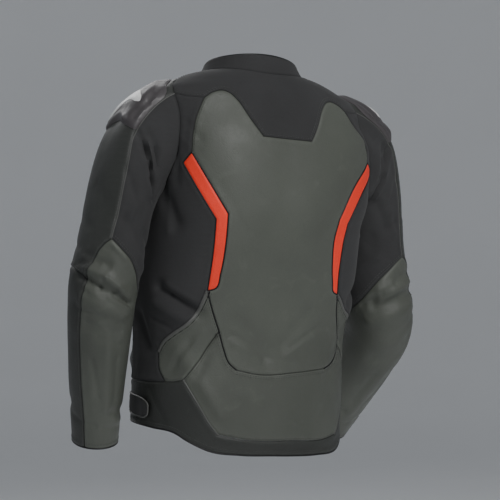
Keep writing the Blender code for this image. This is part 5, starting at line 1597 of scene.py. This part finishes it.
def sew_sleeve(side, seams, parts):
    sleeve = SLEEVES[side]

    def facing(points):
        return sleeve_normals(points, side)

    add_trim(f"stitches_sleeve_{SIDE_NAMES[side]}", THREAD,
             sew(sleeve, seams, SLEEVE_ROWS, facing, -1.0))
    # Light piping down the sleeve: painted highlight along the seam.
    parts["light"].append(pipe(sleeve, seams["outer_back"], facing,
                               SLEEVE_PIPING * PIPING_RADIUS))
    cuff = np.concatenate([seams["cuff_grey"][:-1], seams["cuff_dark"][:-1]])
    parts["edge"].append(pipe(sleeve, cuff, facing, EDGE_RADIUS, closed=True))


def build_collar(seams, parts):
    """The soft stand collar with a bound top edge."""
    turns = np.concatenate([seams["neck_front_left"][::-1, 0], seams["neck_back_left"][-2::-1, 0],
                            seams["neck_back_right"][1:, 0], seams["neck_front_right"][1:, 0]])
    base = np.column_stack([turns, np.zeros(len(turns))])
    top = np.column_stack([turns[::-1], np.ones(len(turns))])
    rise = np.linspace(0.0, 1.0, COLLAR_ROWS + 1)[1:-1]
    ends = [np.column_stack([np.full(len(rise), turns[-1]), rise]),
            np.column_stack([np.full(len(rise), turns[0]), rise[::-1]])]
    loop = np.concatenate([base, ends[0], top, ends[1]])
    points, faces = triangles(COLLAR_SURFACE, loop)
    away, run = seam_field(COLLAR_SURFACE.flat(points), COLLAR_SURFACE.flat(loop))
    places, normal = COLLAR_SURFACE.places(points), COLLAR_SURFACE.normals(points)
    rise = COLLAR_RELIEF[0] * unevenness(places) + COLLAR_RELIEF[1] * seam_relief(away, run)
    item = wall("collar_cloth", LOOKS["black_stretch"], places, normal, faces,
                np.minimum(rise, 0.0) - COLLAR_WALL, rise, away)
    stand_for(item, "collar")
    area = float(sheet_area(places, faces))
    width = float(run_lengths(COLLAR_SURFACE.places(base))[-1])
    rim, facing = COLLAR_SURFACE.places(top), COLLAR_SURFACE.normals(top)
    parts["edge"].append(tube(rim - facing * 0.5 * COLLAR_WALL, facing,
                              COLLAR_BINDING * COLLAR_WALL))


def zip_line():
    """Centre line of the front zip up to the collar's top, and the way it faces."""
    on_trunk, on_collar = ZIP_LINE_STEPS
    heights = np.linspace(LEFT_SEAMS["hem_edge"][0][1], 0.0, on_trunk)
    shares = np.linspace(0.0, 1.0, on_collar)[1:]
    edges, facing = [], []
    for side in SIDE_NAMES:
        edge = zip_edge(heights, side)
        turn = np.full(len(shares), edge[-1, 0])
        edges.append(np.concatenate([TRUNK_SURFACE.places(edge),
                                     COLLAR_SURFACE.point(turn, shares)]))
        facing.append(np.concatenate([TRUNK_SURFACE.normals(edge),
                                      COLLAR_SURFACE.normal(turn, shares)]))
    middle, out = 0.5 * (edges[0] + edges[1]), facing[0] + facing[1]
    out[:, 0] = 0.0
    return middle, unit(out)


def build_zip_teeth():
    """Two rows of zip teeth that mesh along the centre of the zip."""
    middle, out = zip_line()
    run = run_lengths(middle)
    pitch, across, along, height = TOOTH
    places = np.arange(2.0 * pitch, run[-1] - 2.0 * pitch, 0.5 * pitch)
    line, up = read_rows(places, run, middle), read_rows(places, run, out)
    ahead = unit(np.gradient(line, axis=0))
    aside = np.cross(ahead, up)
    levels = [(-TOOTH_SINK, 1.0), *((level * height, share) for level, share in TOOTH_RINGS)]
    parts = []
    for k in range(len(places)):
        shift = aside[k] * (TOOTH_ASIDE * across if k % 2 else -TOOTH_ASIDE * across)
        corners = []
        for level, share in levels:
            for x, y in ((-0.5, -0.5), (0.5, -0.5), (0.5, 0.5), (-0.5, 0.5)):
                corners.append(line[k] + shift + up[k] * level
                               + aside[k] * across * x * share + ahead[k] * along * y * share)
        faces = [(3, 2, 1, 0), (8, 9, 10, 11)]
        for base in (0, 4):
            faces += [(base + j, base + (j + 1) % 4, base + 4 + (j + 1) % 4, base + 4 + j)
                      for j in range(4)]
        parts.append((np.array(corners), faces))
    add_trim("zip_teeth", LOOKS["zip_metal"], parts)


def bevelled(name, look, vertices, faces, width):
    item = finish(name, vertices, faces, look)
    soften = item.modifiers.new("edges", "BEVEL")
    soften.width = width
    soften.segments = 3
    soften.limit_method = "ANGLE"
    return item


def block(low, high, taper=1.0):
    """Corners and faces of a block whose -Y face is smaller by taper."""
    low, high = np.array(low), np.array(high)
    middle = 0.5 * (low + high)
    corners = []
    for x in (0, 1):
        for y in (0, 1):
            for z in (0, 1):
                corner = np.where((x, y, z), high, low)
                if y == 0:
                    corner[[0, 2]] = middle[[0, 2]] + (corner - middle)[[0, 2]] * taper
                corners.append(corner)
    faces = [(0, 1, 3, 2), (4, 6, 7, 5), (0, 4, 5, 1), (2, 3, 7, 6), (0, 2, 6, 4), (1, 5, 7, 3)]
    return np.array(corners), faces


def build_slider():
    """The slider: a tapered body with flanges over the teeth and a bridge for the pull."""
    low, high = (np.array(corner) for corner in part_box("zip_slider"))
    middle, size, metal = 0.5 * (low + high), high - low, LOOKS["zip_metal"]
    start, front, edge = SLIDER_BODY
    body = bevelled("zip_slider_body", metal,
                    *block(low + [0.0, start * size[1], 0.0], high, front), edge)
    half, front, edge = SLIDER_RIB
    waist = np.array(half) * size
    rib = bevelled("zip_slider_rib", metal,
                   *block(middle - waist, middle + waist * [1.0, 0.0, 1.0], front), edge)
    seat = np.array(frame["record"]["behaviour"]["joints"][0]["pos_m"])
    turns = np.linspace(ARCH_TURNS[0] * math.pi, ARCH_TURNS[1] * math.pi, ARCH_TURNS[2])
    arch = np.column_stack([np.full(len(turns), seat[0]),
                            seat[1] + ARCH_MIDDLE[0] - np.sin(turns) * ARCH_RADIUS,
                            seat[2] + ARCH_MIDDLE[1] - np.cos(turns) * ARCH_RADIUS])
    add_trim("zip_slider_bridge", metal,
             [tube(arch, np.tile([1.0, 0.0, 0.0], (len(turns), 1)), ARCH_WIRE)])
    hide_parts("zip_slider")
    for item in (body, rib):
        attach(item, "root")


def build_pull():
    """The pull tab: a rounded plate with an eye at its top and a hollow for the fingertip."""
    low, high = (np.array(corner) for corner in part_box("zip_pull"))
    middle, size = 0.5 * (low + high), high - low
    half = 0.5 * size[0]
    shape = bpy.data.curves.new("pull_shape", "CURVE")
    shape.dimensions = "2D"
    shape.fill_mode = "BOTH"
    shape.bevel_depth = PULL_EDGE
    shape.bevel_resolution = 2
    shape.extrude = 0.5 * size[1] - PULL_EDGE
    top, foot = 0.5 * size[2] - PULL_TOP * half, -0.5 * size[2] + half
    (eye_radius, eye_over), (grip_wide, grip_long, grip_over) = PULL_EYE, PULL_GRIP
    turns = np.linspace(0.0, math.pi, PULL_POINTS[0])
    upper = [(PULL_TOP * half * math.cos(t), top + PULL_TOP * half * math.sin(t)) for t in turns]
    lower = [(-half * math.cos(t), foot - half * math.sin(t)) for t in turns]
    eye = [(eye_radius * half * math.cos(t),
            top + eye_over * half + eye_radius * half * math.sin(t))
           for t in all_round(PULL_POINTS[1])]
    grip = [(grip_wide * half * math.cos(t),
             foot + grip_over * half + (grip_long * half) * math.sin(t))
            for t in all_round(PULL_POINTS[2])]
    for ring in (upper + lower, eye, grip):
        spline = shape.splines.new("POLY")
        spline.points.add(len(ring) - 1)
        for point, (x, z) in zip(spline.points, ring):
            point.co = (x * PULL_FIT[0], z * PULL_FIT[1], 0.0, 1.0)
        spline.use_cyclic_u = True
    holder = put("pull_shape", shape)
    mesh = bpy.data.meshes.new_from_object(holder)
    bpy.data.objects.remove(holder, do_unlink=True)
    places = np.array([tuple(v.co) for v in mesh.vertices])
    turned = np.column_stack([places[:, 0], -places[:, 2], places[:, 1]]) + middle
    faces = [tuple(face.vertices) for face in mesh.polygons]
    item = finish("zip_pull_tab", turned, faces, LOOKS["zip_metal"])
    stand_for(item, "zip_pull", "zip_pull")


def build_stage():
    """A pale floor that curves up into a backdrop all round."""
    profile = [(COVE_RADIUS - COVE_CURVE + COVE_CURVE * math.sin(t),
                FLOOR + COVE_CURVE * (1.0 - math.cos(t)))
               for t in np.linspace(0.0, 0.5 * math.pi, COVE_STEPS)]
    profile.append((COVE_RADIUS, FLOOR + COVE_HEIGHT))
    vertices = [(r * math.cos(t), r * math.sin(t), z) for r, z in profile
                for t in all_round(STAGE_SIDES)]
    vertices.append((0.0, 0.0, FLOOR))
    pairs = [(k, (k + 1) % STAGE_SIDES) for k in range(STAGE_SIDES)]
    faces = [(k, after, STAGE_SIDES * len(profile)) for k, after in pairs]
    for base in range(0, STAGE_SIDES * (len(profile) - 1), STAGE_SIDES):
        over = base + STAGE_SIDES
        faces += [(base + k, over + k, over + after, base + after) for k, after in pairs]
    look = Look("pale_paint", 0.85)
    look.feed("Base Color", look.tint(FLOOR_COLOUR, look.noise(1.5, 3.0), CLOUDS,
                                      tone(FLOOR_COLOUR, 1.03)))
    finish("studio_floor", vertices, faces, look.material)


def aim(item, place, target):
    item.location = place
    item.rotation_euler = (Vector(target) - Vector(place)).to_track_quat("-Z", "Y").to_euler()


def round_about(azimuth, elevation, distance, target):
    """A place seen from target at an azimuth (0 in front, 90 on the left side) and elevation."""
    turn, rise = math.radians(azimuth), math.radians(elevation)
    way = Vector((math.sin(turn) * math.cos(rise), -math.cos(turn) * math.cos(rise),
                  math.sin(rise)))
    return Vector(target) + way * distance


def build_lights():
    for name, azimuth, elevation, distance, size, power in LIGHTS:
        lamp = bpy.data.lights.new(name, "AREA")
        lamp.shape = "DISK"
        lamp.size = size
        lamp.energy = power
        aim(put(name, lamp), round_about(azimuth, elevation, distance, MIDDLE), MIDDLE)
    world = bpy.data.worlds.new("studio")
    world.use_nodes = True
    light = world.node_tree.nodes["Background"].inputs
    light["Color"].default_value = (*SKY, 1.0)
    light["Strength"].default_value = SKY_STRENGTH
    bpy.context.scene.world = world


def build_camera():
    """The photograph's own place and angle, framed on the jacket alone."""
    lens = bpy.data.cameras.new("camera")
    lens.sensor_width = SENSOR_WIDTH
    lens.lens = SENSOR_WIDTH * CAMERA_DISTANCE / FRAME_WIDTH
    camera = put("camera", lens)
    place = round_about(CAMERA_AZIMUTH, 0.0, CAMERA_DISTANCE, (0.0, 0.0, 0.0))
    aim(camera, place, MIDDLE)
    bpy.context.scene.camera = camera


def main():
    parts = {"stitches": [], "dark": [], "light": [], "edge": [], "binding": []}
    seams = trunk_seams()
    build_trunk(seams, parts)
    build_collar(seams, parts)
    sew_trunk(seams, parts)
    for side, sleeve in SLEEVES.items():
        own = sleeve_seams(sleeve)
        build_sleeve(side, own, parts)
        sew_sleeve(side, own, parts)
    add_trim("stitches_trunk", THREAD, parts["stitches"])
    add_trim("seam_piping_dark", PIPING, parts["dark"])
    # The light piping's colour is painted highlight.
    add_trim("seam_piping_painted_highlight", HIGHLIGHT_PIPING, parts["light"])
    add_trim("turned_edges", PIPING, parts["edge"])
    # The tab binding's light colour is painted highlight.
    add_trim("waist_tab_binding", HIGHLIGHT_PIPING, parts["binding"])
    node = frame["nodes"]["front_zip"]
    for slot in node.material_slots:
        slot.material = LOOKS["zip_tape"]
    build_zip_teeth()
    build_slider()
    build_pull()
    build_stage()
    build_lights()
    build_camera()


main()
